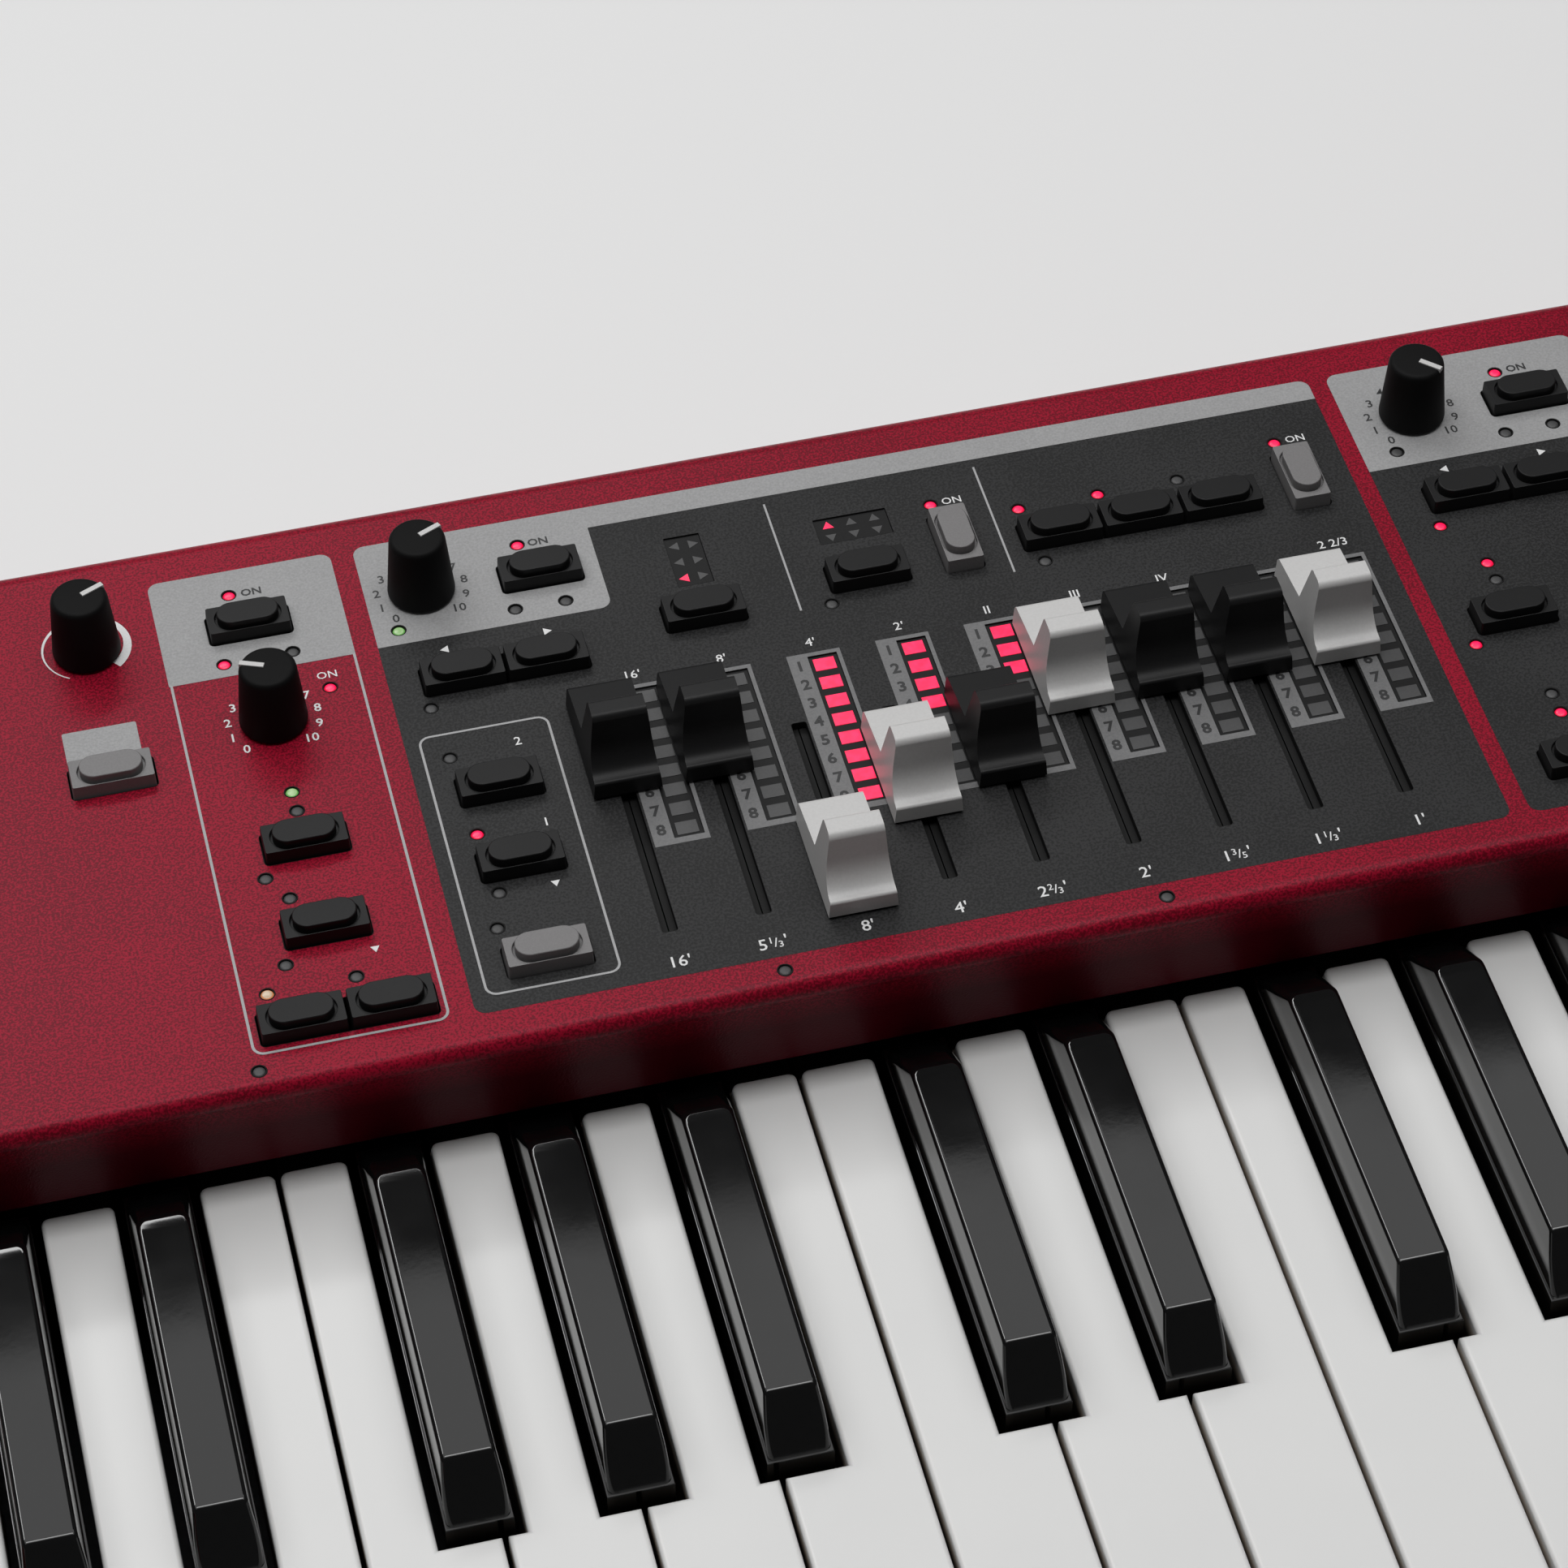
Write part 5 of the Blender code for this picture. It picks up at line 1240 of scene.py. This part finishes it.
for x, y, angle in tips:
    lit = (x, y) in ((97.6, 101.4), (126.9, 108.4))
    (lit_cells if lit else cells).append(arrow(x, y, angle, 1.25, triangle_rise))
place(join(columns, "light_columns"), column_black, "case", "display_acrylic")
place(join(cells, "unlit_cells"), cell_grey, "case", "display_acrylic")
place(join(lit_cells, "lit_cells"), lit_red, "case", "display_acrylic")
for side, low_x, high_x in (("left", -2.2, -0.12), ("right", 0.12, 2.2)):
    flaps = [slab("flap", (SLOT_FIRST + number * SLOT_PITCH + low_x, SLOT_START - 1, PANEL - 2.1),
                  (SLOT_FIRST + number * SLOT_PITCH + high_x, SLOT_START + SLOT_SIZE[1] + 1, PANEL - 1.65))
             for number in range(9)]
    place(join(flaps, f"{side}_slot_flaps"), deep_black, "case", "black_rubber")
print("cells lit:", sum(SETTINGS) + 2)

# %% [markdown]
# A drawbar's knob is drawn from the side: a thin lip in front, a hollow for the finger, a tall block, and
# a low ledge behind a notch. The outline is pulled to its width, the Simple Deform modifier's taper
# narrows it towards the top, as a mould needs, and the long edges are rounded.

# %% Model a drawbar
DRAWBAR_HALF = 6.4
DRAWBAR_DRAFT = 0.01328
DRAWBAR_ROUND = 0.95
HOLLOW = [(0.6 + 3.9 * math.sin(math.radians(angle)), 4.2 + 6.2 * (1 - math.cos(math.radians(angle))))
          for angle in range(15, 91, 15)]
DRAWBAR_SIDE = [(0, 0.6), (0, 4.2), (0.6, 4.2), *HOLLOW, (4.5, 16.6), (9.0, 16.6), (12.2, 6.6), (24.6, 5.3),
                (24.6, 0.6)]
DRAWBAR_EDGES = ((0, 4.2, 0.8), (4.5, 16.6, 1.4), (9.0, 16.6, 0.8), (24.6, 5.3, 1.2))

drawbar = outline("drawbar_model", [(-DRAWBAR_HALF, y, z) for y, z in DRAWBAR_SIDE])
bpy.context.tool_settings.mesh_select_mode = (False, False, True)
pull(x=2 * DRAWBAR_HALF)
tidy_mesh()
for y, z, radius in DRAWBAR_EDGES:
    pick("edges", lambda edge: near(ends(edge, 1)[0], y) and near(ends(edge, 1)[1], y)
         and near(ends(edge, 2)[0], z) and near(ends(edge, 2)[1], z))
    round_off(radius, 5)
modify(drawbar, "SIMPLE_DEFORM", deform_method="TAPER", deform_axis="Z", lock_y=True,
       factor=-DRAWBAR_DRAFT * 16.0)
bpy.ops.object.mode_set(mode="EDIT")
pick("edges", lambda edge: corner_edge(edge, 0.9) and ends(edge, 2)[1] > 0.7
     and max(abs(face.normal.x) for face in edge.link_faces) > 0.9)
round_off(DRAWBAR_ROUND, 4)
tidy_mesh()
stem = slab("stem", (-1.1, 4.9, -8.0), (1.1, 9.9, 3.0))
drawbar = join([drawbar, stem], "drawbar_model")
print("drawbar:", faces_of(drawbar), "faces")

# %% Set the drawbars in their slots
for number in range(1, 10):
    node = f"drawbar_{number}"
    low, high = bench_box(node)
    colour = satin_white if number in (3, 4, 6, 9) else matt_black
    slot_name = "white_drawbar_plastic" if colour is satin_white else "black_control_plastic"
    piece = copy_of(drawbar, f"drawbar_cap_{number}", (low.x + high.x) / 2, low.y, PANEL)
    place(piece, colour, node, slot_name, node)
discard(drawbar)

# %% [markdown]
# A knob is a turned piece: its outline is spun about its axis. It tapers a little, its top is flat with a
# rounded rim, and a white bar runs from near its middle to the rim. The bar is a small block, rounded at
# its upper edges and sunk into the top.

# %% Model the knobs
KNOB_PROFILE = [(0, -6.5), (3.0, -6.5), (3.0, 0.5), (5.9, 0.5), (6.3, 0.7), (6.35, 1.2), (5.33, 13.1),
                (5.22, 13.65), (4.98, 14.02), (4.65, 14.24), (4.2, 14.3), (0, 14.25)]
POINTER = ((0.6, -0.55, 13.6), (5.2, 0.55, 14.55))

knob_body = turned("knob_model", KNOB_PROFILE, steps=56)
pointer_bar = slab("pointer_model", *POINTER)
pick("edges", lambda edge: ends(edge, 2)[0] > 14.5)
round_off(0.12, 2)
for name in KNOBS:
    x, y = knob_centre(name)
    low, high = bench_box(name)
    angle = {"master_level_knob": 25, "drive_knob": 157.5, "organ_level_knob": 25, "piano_level_knob": -45,
             "programme_dial": 90, "synth_level_knob": 60, "filter_knob": 110, "effect_amount_knob": 140}[name]
    body_piece = copy_of(knob_body, name + "_body", x, y, PANEL)
    place(body_piece, knob_black, name, "black_control_plastic", name, angle=30, flats=False)
    bar = copy_of(pointer_bar, name + "_pointer", turn=angle)
    bar.data.transform(Matrix.Translation((x, y, PANEL)))
    place(bar, satin_white, name, "white_drawbar_plastic", name)
discard(knob_body, pointer_bar)
print("knobs:", len(KNOBS))

# %% [markdown]
# A button is a rounded block with an oval pill standing in a shallow moat. The pill and the tool that cuts
# the moat are both cylinders whose two halves are drawn apart.

# %% Model a button
OVAL_REACH = 2.95
OVAL_RADIUS = 2.8
MOAT = 0.5
BUTTON_TOP = 2.8
PILL_TOP = 4.2


def oval(name, radius, low, high, steps=40):
    """A cylinder stretched into an oval with straight sides, open in edit mode."""
    piece = begin("cylinder", name, vertices=steps, radius=radius, depth=high - low,
                  location=(0, 0, (low + high) / 2), rotation=(0, 0, math.pi / steps))
    for side in (-1, 1):
        pick("verts", lambda vert: vert.co.x * side > 0)
        move(x=side * OVAL_REACH)
    return piece


block = slab("button_block", (-BUTTON[0] / 2, -BUTTON[1] / 2, -3.0), (BUTTON[0] / 2, BUTTON[1] / 2, BUTTON_TOP))
pick("faces", lambda face: face.normal.z > 0.9)
bpy.ops.transform.resize(value=(0.974, 0.946, 1), center_override=(0, 0, BUTTON_TOP))
pick("edges", lambda edge: not near(*ends(edge, 2)))
round_off(0.35, 3)
pick("edges", lambda edge: ends(edge, 2)[0] > BUTTON_TOP - 0.01)
round_off(0.12, 2)
deselect()
moat_tool = oval("moat_tool", OVAL_RADIUS + MOAT, BUTTON_TOP - 0.7, BUTTON_TOP + 2)
cut(block, moat_tool)
bpy.ops.object.mode_set(mode="EDIT")
pick("edges", lambda edge: ends(edge, 2)[0] > BUTTON_TOP - 0.01 and corner_edge(edge, 1.0))
round_off(0.08, 1)
pill = oval("pill", OVAL_RADIUS, BUTTON_TOP - 0.9, PILL_TOP)
pick("edges", lambda edge: ends(edge, 2)[0] > PILL_TOP - 0.01)
round_off(0.25, 3)
button = join([block, pill], "button_model")
discard(moat_tool)
for name, (x, y) in {**SINGLE_BUTTONS, **PAIRED_BUTTONS, **UPRIGHT_BUTTONS}.items():
    dark = name in PAIRED_BUTTONS
    piece = copy_of(button, name + "_cap", turn=90 if name in UPRIGHT_BUTTONS else 0)
    piece.data.transform(Matrix.Translation((x, y, PANEL)))
    place(piece, matt_black if dark else warm_grey, name,
          "black_control_plastic" if dark else "grey_button_plastic", name)
print("button:", faces_of(button), "faces")

# %% [markdown]
# The other buttons are one rubber mat for each section, with the caps standing on a thin sheet that lies
# under the panel.

# %% The key mats
MAT_AREAS = {
    "rotary_key_mat": [(4, 24, 29, 114)],
    "organ_key_mat": [(59, 79, 211, 114), (42, 31, 64, 93)],
    "piano_key_mat": [(235, 8, 276, 98), (256, 90, 276, 114), (270, 50, share(0.96), 70),
                      (share(0.36), 60, share(0.45), 114), (share(0.85), 60, share(0.95), 114),
                      (share(0.06), 20, share(0.26), 52)],
}
for name, rows in MAT_ROWS.items():
    caps = [copy_of(button, "cap", x + number * BUTTON_PITCH, y, PANEL)
            for x, y, count in rows for number in range(count)]
    place(join(caps, name + "_caps"), matt_black, "case", "black_control_plastic", name)
    leaves = []
    for low_x, low_y, high_x, high_y in MAT_AREAS[name]:
        leaf = slab("leaf", (low_x, low_y, PANEL - 2.8), (high_x, high_y, PANEL - 1.8))
        pick("edges", lambda edge: not near(*ends(edge, 2)))
        round_off(2.0, 4)
        leaves.append(leaf)
    place(join(leaves, name + "_sheet"), rubber, "case", "black_rubber", name)
discard(button)
print("mats:", list(MAT_ROWS))

# %% [markdown]
# The tray is folded like the panel: floor, front slip with a return under the keys, and a rear wall that
# steps in behind the panel's flange.

# %% Fold the tray
tray_low, tray_high = bench_box("bottom_tray")
SLIP_RETURN = 6.5
SLIP_TOP = 38.0
STEP_AT = 71.7
tray = begin("plane", "tray_sheet", size=1, scale=(tray_high.x - tray_low.x, tray_high.y - tray_low.y, 1),
             location=((tray_low.x + tray_high.x) / 2, (tray_low.y + tray_high.y) / 2, tray_low.z))
pick("edges", lambda edge: near(ends(edge, 1)[1], tray_low.y))
pull(z=SLIP_TOP - tray_low.z)
pull(y=SLIP_RETURN)
pick("edges", lambda edge: near(ends(edge, 1)[0], tray_high.y))
pull(z=STEP_AT - tray_low.z)
pull(y=-1.8, z=2.0)
pull(z=tray_high.z - STEP_AT - 2.0)
for y, z, radius in ((tray_low.y, tray_low.z, 3.0), (tray_low.y, SLIP_TOP, 3.0), (tray_high.y, tray_low.z, 3.0)):
    pick("edges", lambda edge: near(ends(edge, 1)[0], y) and near(ends(edge, 1)[1], y)
         and near(ends(edge, 2)[0], z) and near(ends(edge, 2)[1], z))
    round_off(radius, 6)
tidy_mesh()
if min(face.normal.z for face in bmesh.from_edit_mesh(tray.data).faces if middle(face).z < tray_low.z + 0.01) > 0:
    bpy.ops.mesh.flip_normals()
modify(tray, "SOLIDIFY", thickness=SHEET, offset=-1, use_even_offset=True)
print("tray folded:", faces_of(tray), "faces")

# %% [markdown]
# The cheeks close the two ends. One outline gives both: low beside the keys, with a rounded step up to the
# panel. The corners get their radii one by one, and the whole outer rim is rounded last.

# %% Shape the cheeks
SHOULDER = 66.0
CHEEK_STEP = 10.0
CHEEK_ROUND = 3.0
step_y = panel_low.y - CHEEK_STEP
for node, sign in (("left_cheek", -1), ("right_cheek", 1)):
    low, high = bench_box(node)
    corners = [(low.y, low.z, 3), (low.y, SHOULDER, 12), (step_y, SHOULDER, 8), (panel_low.y, high.z, 3),
               (high.y, high.z, 5), (high.y, low.z, 3)]
    piece = outline(node + "_wood", [(low.x, y, z) for y, z, radius in corners])
    bpy.context.tool_settings.mesh_select_mode = (False, False, True)
    pull(x=high.x - low.x)
    tidy_mesh()
    for y, z, radius in corners:
        pick("edges", lambda edge: near(ends(edge, 1)[0], y) and near(ends(edge, 1)[1], y)
             and near(ends(edge, 2)[0], z) and near(ends(edge, 2)[1], z))
        round_off(radius * (math.tan(math.radians(22.5)) if z == SHOULDER and y == step_y else 1), 8)
    outer = high.x if sign > 0 else low.x
    pick("edges", lambda edge: near(ends(edge, 0)[0], outer) and near(ends(edge, 0)[1], outer))
    round_off(CHEEK_ROUND, 6)
    tidy_mesh()
    place(piece, red_wood, "case", "red_lacquered_wood", node)
print("cheeks shaped")

# %% [markdown]
# Each foot is a turned rubber puck with a recess for its screw.

# %% Turn the feet
FOOT_PROFILE = [(0, 3.0), (3.6, 3.0), (3.9, 0.4), (4.4, 0), (10.4, 0), (11.1, 0.5), (12.5, 7.2), (12.2, 7.7),
                (0, 7.7)]
foot = turned("foot_model", FOOT_PROFILE, steps=40)
for node in [name for name in nodes if name.startswith("foot_")]:
    low, high = bench_box(node)
    piece = copy_of(foot, node + "_rubber", (low.x + high.x) / 2, (low.y + high.y) / 2)
    place(piece, rubber, "case", "black_rubber", node)
discard(foot)

# %% [markdown]
# The sockets stand on the main board and look out through holes in the tray's rear wall. The round ones
# are turned upright and then laid down; the angular ones are blocks whose rear face is inset and pushed
# in. Each hole in the wall is a little larger than its socket. The jacks have nickel bushings, the round
# data sockets five contacts on an arc, the square one a tongue, and the mains inlet three flat pins.

# %% Where the sockets are
REAR_HEIGHT = 30.1
WALL_INNER = tray_high.y - SHEET
SOCKET_END = tray_high.y - 0.3
JACKS = (30.0, 45.8, 62.0, 78.1, 140.9, 199.7, 237.0)
ROUND_SOCKETS = (161.5, 182.2)
DATA_SOCKET, MAINS_INLET = 218.5, 290.0


def laid(piece):
    """Lay an upright round piece down, so that its top looks to the rear, at the sockets' height."""
    deselect()
    piece.select_set(True)
    bpy.context.view_layer.objects.active = piece
    piece.rotation_euler.x = -math.pi / 2
    piece.location = (0, SOCKET_END, REAR_HEIGHT)
    bpy.ops.object.transform_apply(location=True, rotation=True, scale=False)
    return piece


def across(name, x, width, height, front, rear):
    """A block that looks to the rear, centred on a socket's place."""
    return slab(name, (x - width / 2, front, REAR_HEIGHT - height / 2), (x + width / 2, rear, REAR_HEIGHT + height / 2))


def square_shell(name, x, outer, bore, depth, length, corner):
    """A block with rounded long edges and an angular bore."""
    piece = across(name, x, *outer, SOCKET_END - length, SOCKET_END)
    pick("edges", lambda edge: not near(*ends(edge, 1)))
    round_off(corner, 4)
    pick("faces", lambda face: face.normal.y > 0.9)
    bpy.ops.mesh.inset(thickness=0.8)
    bpy.ops.transform.resize(value=(bore[0] / (outer[0] - 1.6), 1, bore[1] / (outer[1] - 1.6)),
                             center_override=(x, SOCKET_END, REAR_HEIGHT))
    pull(y=-depth)
    tidy_mesh()
    return piece


print("sockets:", len(JACKS) + len(ROUND_SOCKETS) + 2, "at", REAR_HEIGHT)

# %% The openings of the tray
ROOM = 0.3

round_tools = {}
for radius in (4.7, 8.0):
    begin("cylinder", "bore", vertices=40, radius=radius + ROOM / 2, depth=8)
    round_tools[radius] = laid(bpy.context.object)
tray_holes = [copy_of(round_tools[4.7], "hole", x) for x in JACKS]
tray_holes += [copy_of(round_tools[8.0], "hole", x) for x in ROUND_SOCKETS]
for x, width, height in ((DATA_SOCKET, 12.4, 11.2), (MAINS_INLET, 27.5, 19.6)):
    tray_holes.append(across("hole", x, width + ROOM, height + ROOM, SOCKET_END - 4, SOCKET_END + 4))
    pick("edges", lambda edge: not near(*ends(edge, 1)))
    round_off(1.0, 4)
tray_holes = join(tray_holes, "tray_holes")
cut(tray, tray_holes)
discard(tray_holes, *round_tools.values())
place(tray, red_coat, "case", "red_powder_coat", "bottom_tray")
print("tray cut:", faces_of(tray), "faces")

# %% The jacks and the round sockets
JACK_PROFILE = [(3.25, -18), (3.9, -18), (3.9, -1.7), (4.7, -1.7), (4.7, -0.3), (4.4, 0), (3.8, 0), (3.25, -0.6),
                (3.25, -18)]
RING_PROFILE = [(6.6, -8), (7.4, -8), (7.4, -1.7), (8.0, -1.7), (8.0, -0.4), (7.6, 0), (7.1, 0), (6.6, -0.5),
                (6.6, -8)]
CONTACT_PROFILE = [(0, -9), (0.75, -9), (0.75, -5.2), (0.45, -5.0), (0.45, -7.0), (0, -7.0)]
CONTACT_RADIUS = 3.7

bushing = laid(turned("bushing", JACK_PROFILE, steps=36))
ring = laid(turned("ring", RING_PROFILE, steps=48))
contact = laid(turned("contact", CONTACT_PROFILE, steps=16))
bore = laid(turned("bore", [(0, -18), (3.9, -18), (3.9, 2), (0, 2)], steps=36))
wide_bore = laid(turned("wide_bore", [(0, -8), (7.4, -8), (7.4, 2), (0, 2)], steps=48))
metal = [copy_of(bushing, "bushing", x) for x in JACKS] + [copy_of(ring, "ring", x) for x in ROUND_SOCKETS]
for x in ROUND_SOCKETS:
    for angle in range(0, 181, 45):
        turn = math.radians(angle)
        metal.append(copy_of(contact, "contact", x + CONTACT_RADIUS * math.cos(turn), 0,
                             CONTACT_RADIUS * math.sin(turn)))
bodies = []
for places, width, height, length, tool in ((JACKS, 15.0, 14.0, 23.2, bore),
                                            (ROUND_SOCKETS, 19.5, 18.5, 15.2, wide_bore)):
    for x in places:
        body_piece = across("socket_body", x, width, height, SOCKET_END - length, WALL_INNER - 0.1)
        pick("edges", lambda edge: corner_edge(edge))
        round_off(0.4, 2)
        moved_tool = copy_of(tool, "tool", x)
        cut(body_piece, moved_tool)
        discard(moved_tool)
        bodies.append(body_piece)
discard(bushing, ring, contact, bore, wide_bore)
print("jacks:", len(JACKS), "round sockets:", len(ROUND_SOCKETS))

# %% The data socket, the mains inlet and the board
BOARD = ((15.0, 71.4, 21.5), (317.5, 134.2, 23.1))
BOARD_POST = 6.0
POST_FOOT = 9.8

metal.append(square_shell("data_shell", DATA_SOCKET, (12.4, 11.2), (8.6, 7.8), 9.0, 16.0, 0.8))
bodies.append(square_shell("mains_shell", MAINS_INLET, (27.5, 19.6), (24.0, 16.2), 16.0, 22.0, 1.2))
tongue = across("tongue", DATA_SOCKET, 5.6, 3.2, SOCKET_END - 9.5, SOCKET_END - 1.5)
pick("edges", lambda edge: ends(edge, 1)[0] > SOCKET_END - 1.6)
round_off(0.4, 2)
bodies.append(tongue)
for x, z in ((-7.0, -2.0), (0.0, 2.0), (7.0, -2.0)):
    pin = slab("pin", (MAINS_INLET + x - 1.0, SOCKET_END - 16.5, REAR_HEIGHT + z - 2.0),
               (MAINS_INLET + x + 1.0, SOCKET_END - 2.0, REAR_HEIGHT + z + 2.0))
    pick("edges", lambda edge: ends(edge, 1)[0] > SOCKET_END - 2.1)
    round_off(0.6, 3)
    metal.append(pin)
place(join(metal, "socket_metal"), nickel, "case", "circuit_board", "main_board")
place(join(bodies, "socket_bodies"), matt_black, "case", "black_control_plastic", "main_board")
board = slab("board", *BOARD)
pick("edges", lambda edge: not near(*ends(edge, 2)))
round_off(2.0, 4)
notches = [across("notch", x, width, 30, SOCKET_END - length, SOCKET_END + 1)
           for x, width, length in [(x, 20.0, 15.5) for x in ROUND_SOCKETS] + [(MAINS_INLET, 28.0, 22.5)]]
notches = join(notches, "notches")
cut(board, notches)
discard(notches)
posts = []
for x in (BOARD[0][0] + 6, (BOARD[0][0] + BOARD[1][0]) / 2, BOARD[1][0] - 6):
    post = slab("post", (x - BOARD_POST / 2, BOARD[0][1] + 1, POST_FOOT), (x + BOARD_POST / 2, BOARD[0][1] + 7, 21.6))
    pick("edges", lambda edge: not near(*ends(edge, 2)))
    round_off(0.8, 2)
    posts.append(post)
chips = []
for x, y, width, depth, height in ((70, 92, 20, 20, 2.0), (120, 96, 14, 14, 1.8), (170, 94, 10, 16, 1.8),
                                   (215, 92, 16, 16, 2.0), (255, 95, 30, 12, 12.0)):
    chips.append(slab("chip", (x - width / 2, y - depth / 2, BOARD[1][2] - 0.1),
                      (x + width / 2, y + depth / 2, BOARD[1][2] + height)))
    pick("edges", lambda edge: corner_edge(edge))
    round_off(0.3, 2)
place(join([board, *posts], "main_board_sheet"), green_board, "case", "circuit_board", "main_board")
place(join(chips, "main_board_chips"), matt_black, "case", "circuit_board", "main_board")
print("main board dressed")

# %% [markdown]
# The display sits in its own opening: a black frame with soft edges round a pane of smoked acrylic that
# lies a little lower.

# %% Frame the display
FRAME_WIDTH = 2.2
PANE_DEPTH = 0.5

bezel = slab("display_frame", display_low, display_high)
pick("edges", lambda edge: not near(*ends(edge, 2)))
round_off(1.0, 4)
pick("edges", lambda edge: ends(edge, 2)[0] > display_high.z - 0.01)
round_off(0.35, 3)
pick("faces", lambda face: face.normal.z > 0.95)
bpy.ops.mesh.inset(thickness=FRAME_WIDTH)
pull(z=-PANE_DEPTH)
tidy_mesh()
place(bezel, matt_black, "case", "black_control_plastic", "display_window")
pane = slab("display_pane", (display_low.x + FRAME_WIDTH + 0.5, display_low.y + FRAME_WIDTH + 0.5, display_high.z - 1.2),
            (display_high.x - FRAME_WIDTH - 0.5, display_high.y - FRAME_WIDTH - 0.5, display_high.z - 0.25))
pick("edges", lambda edge: corner_edge(edge))
round_off(0.15, 2)
place(pane, smoked, "case", "display_acrylic", "display_window")
print("display:", [round(part, 1) for part in display_low], [round(part, 1) for part in display_high])
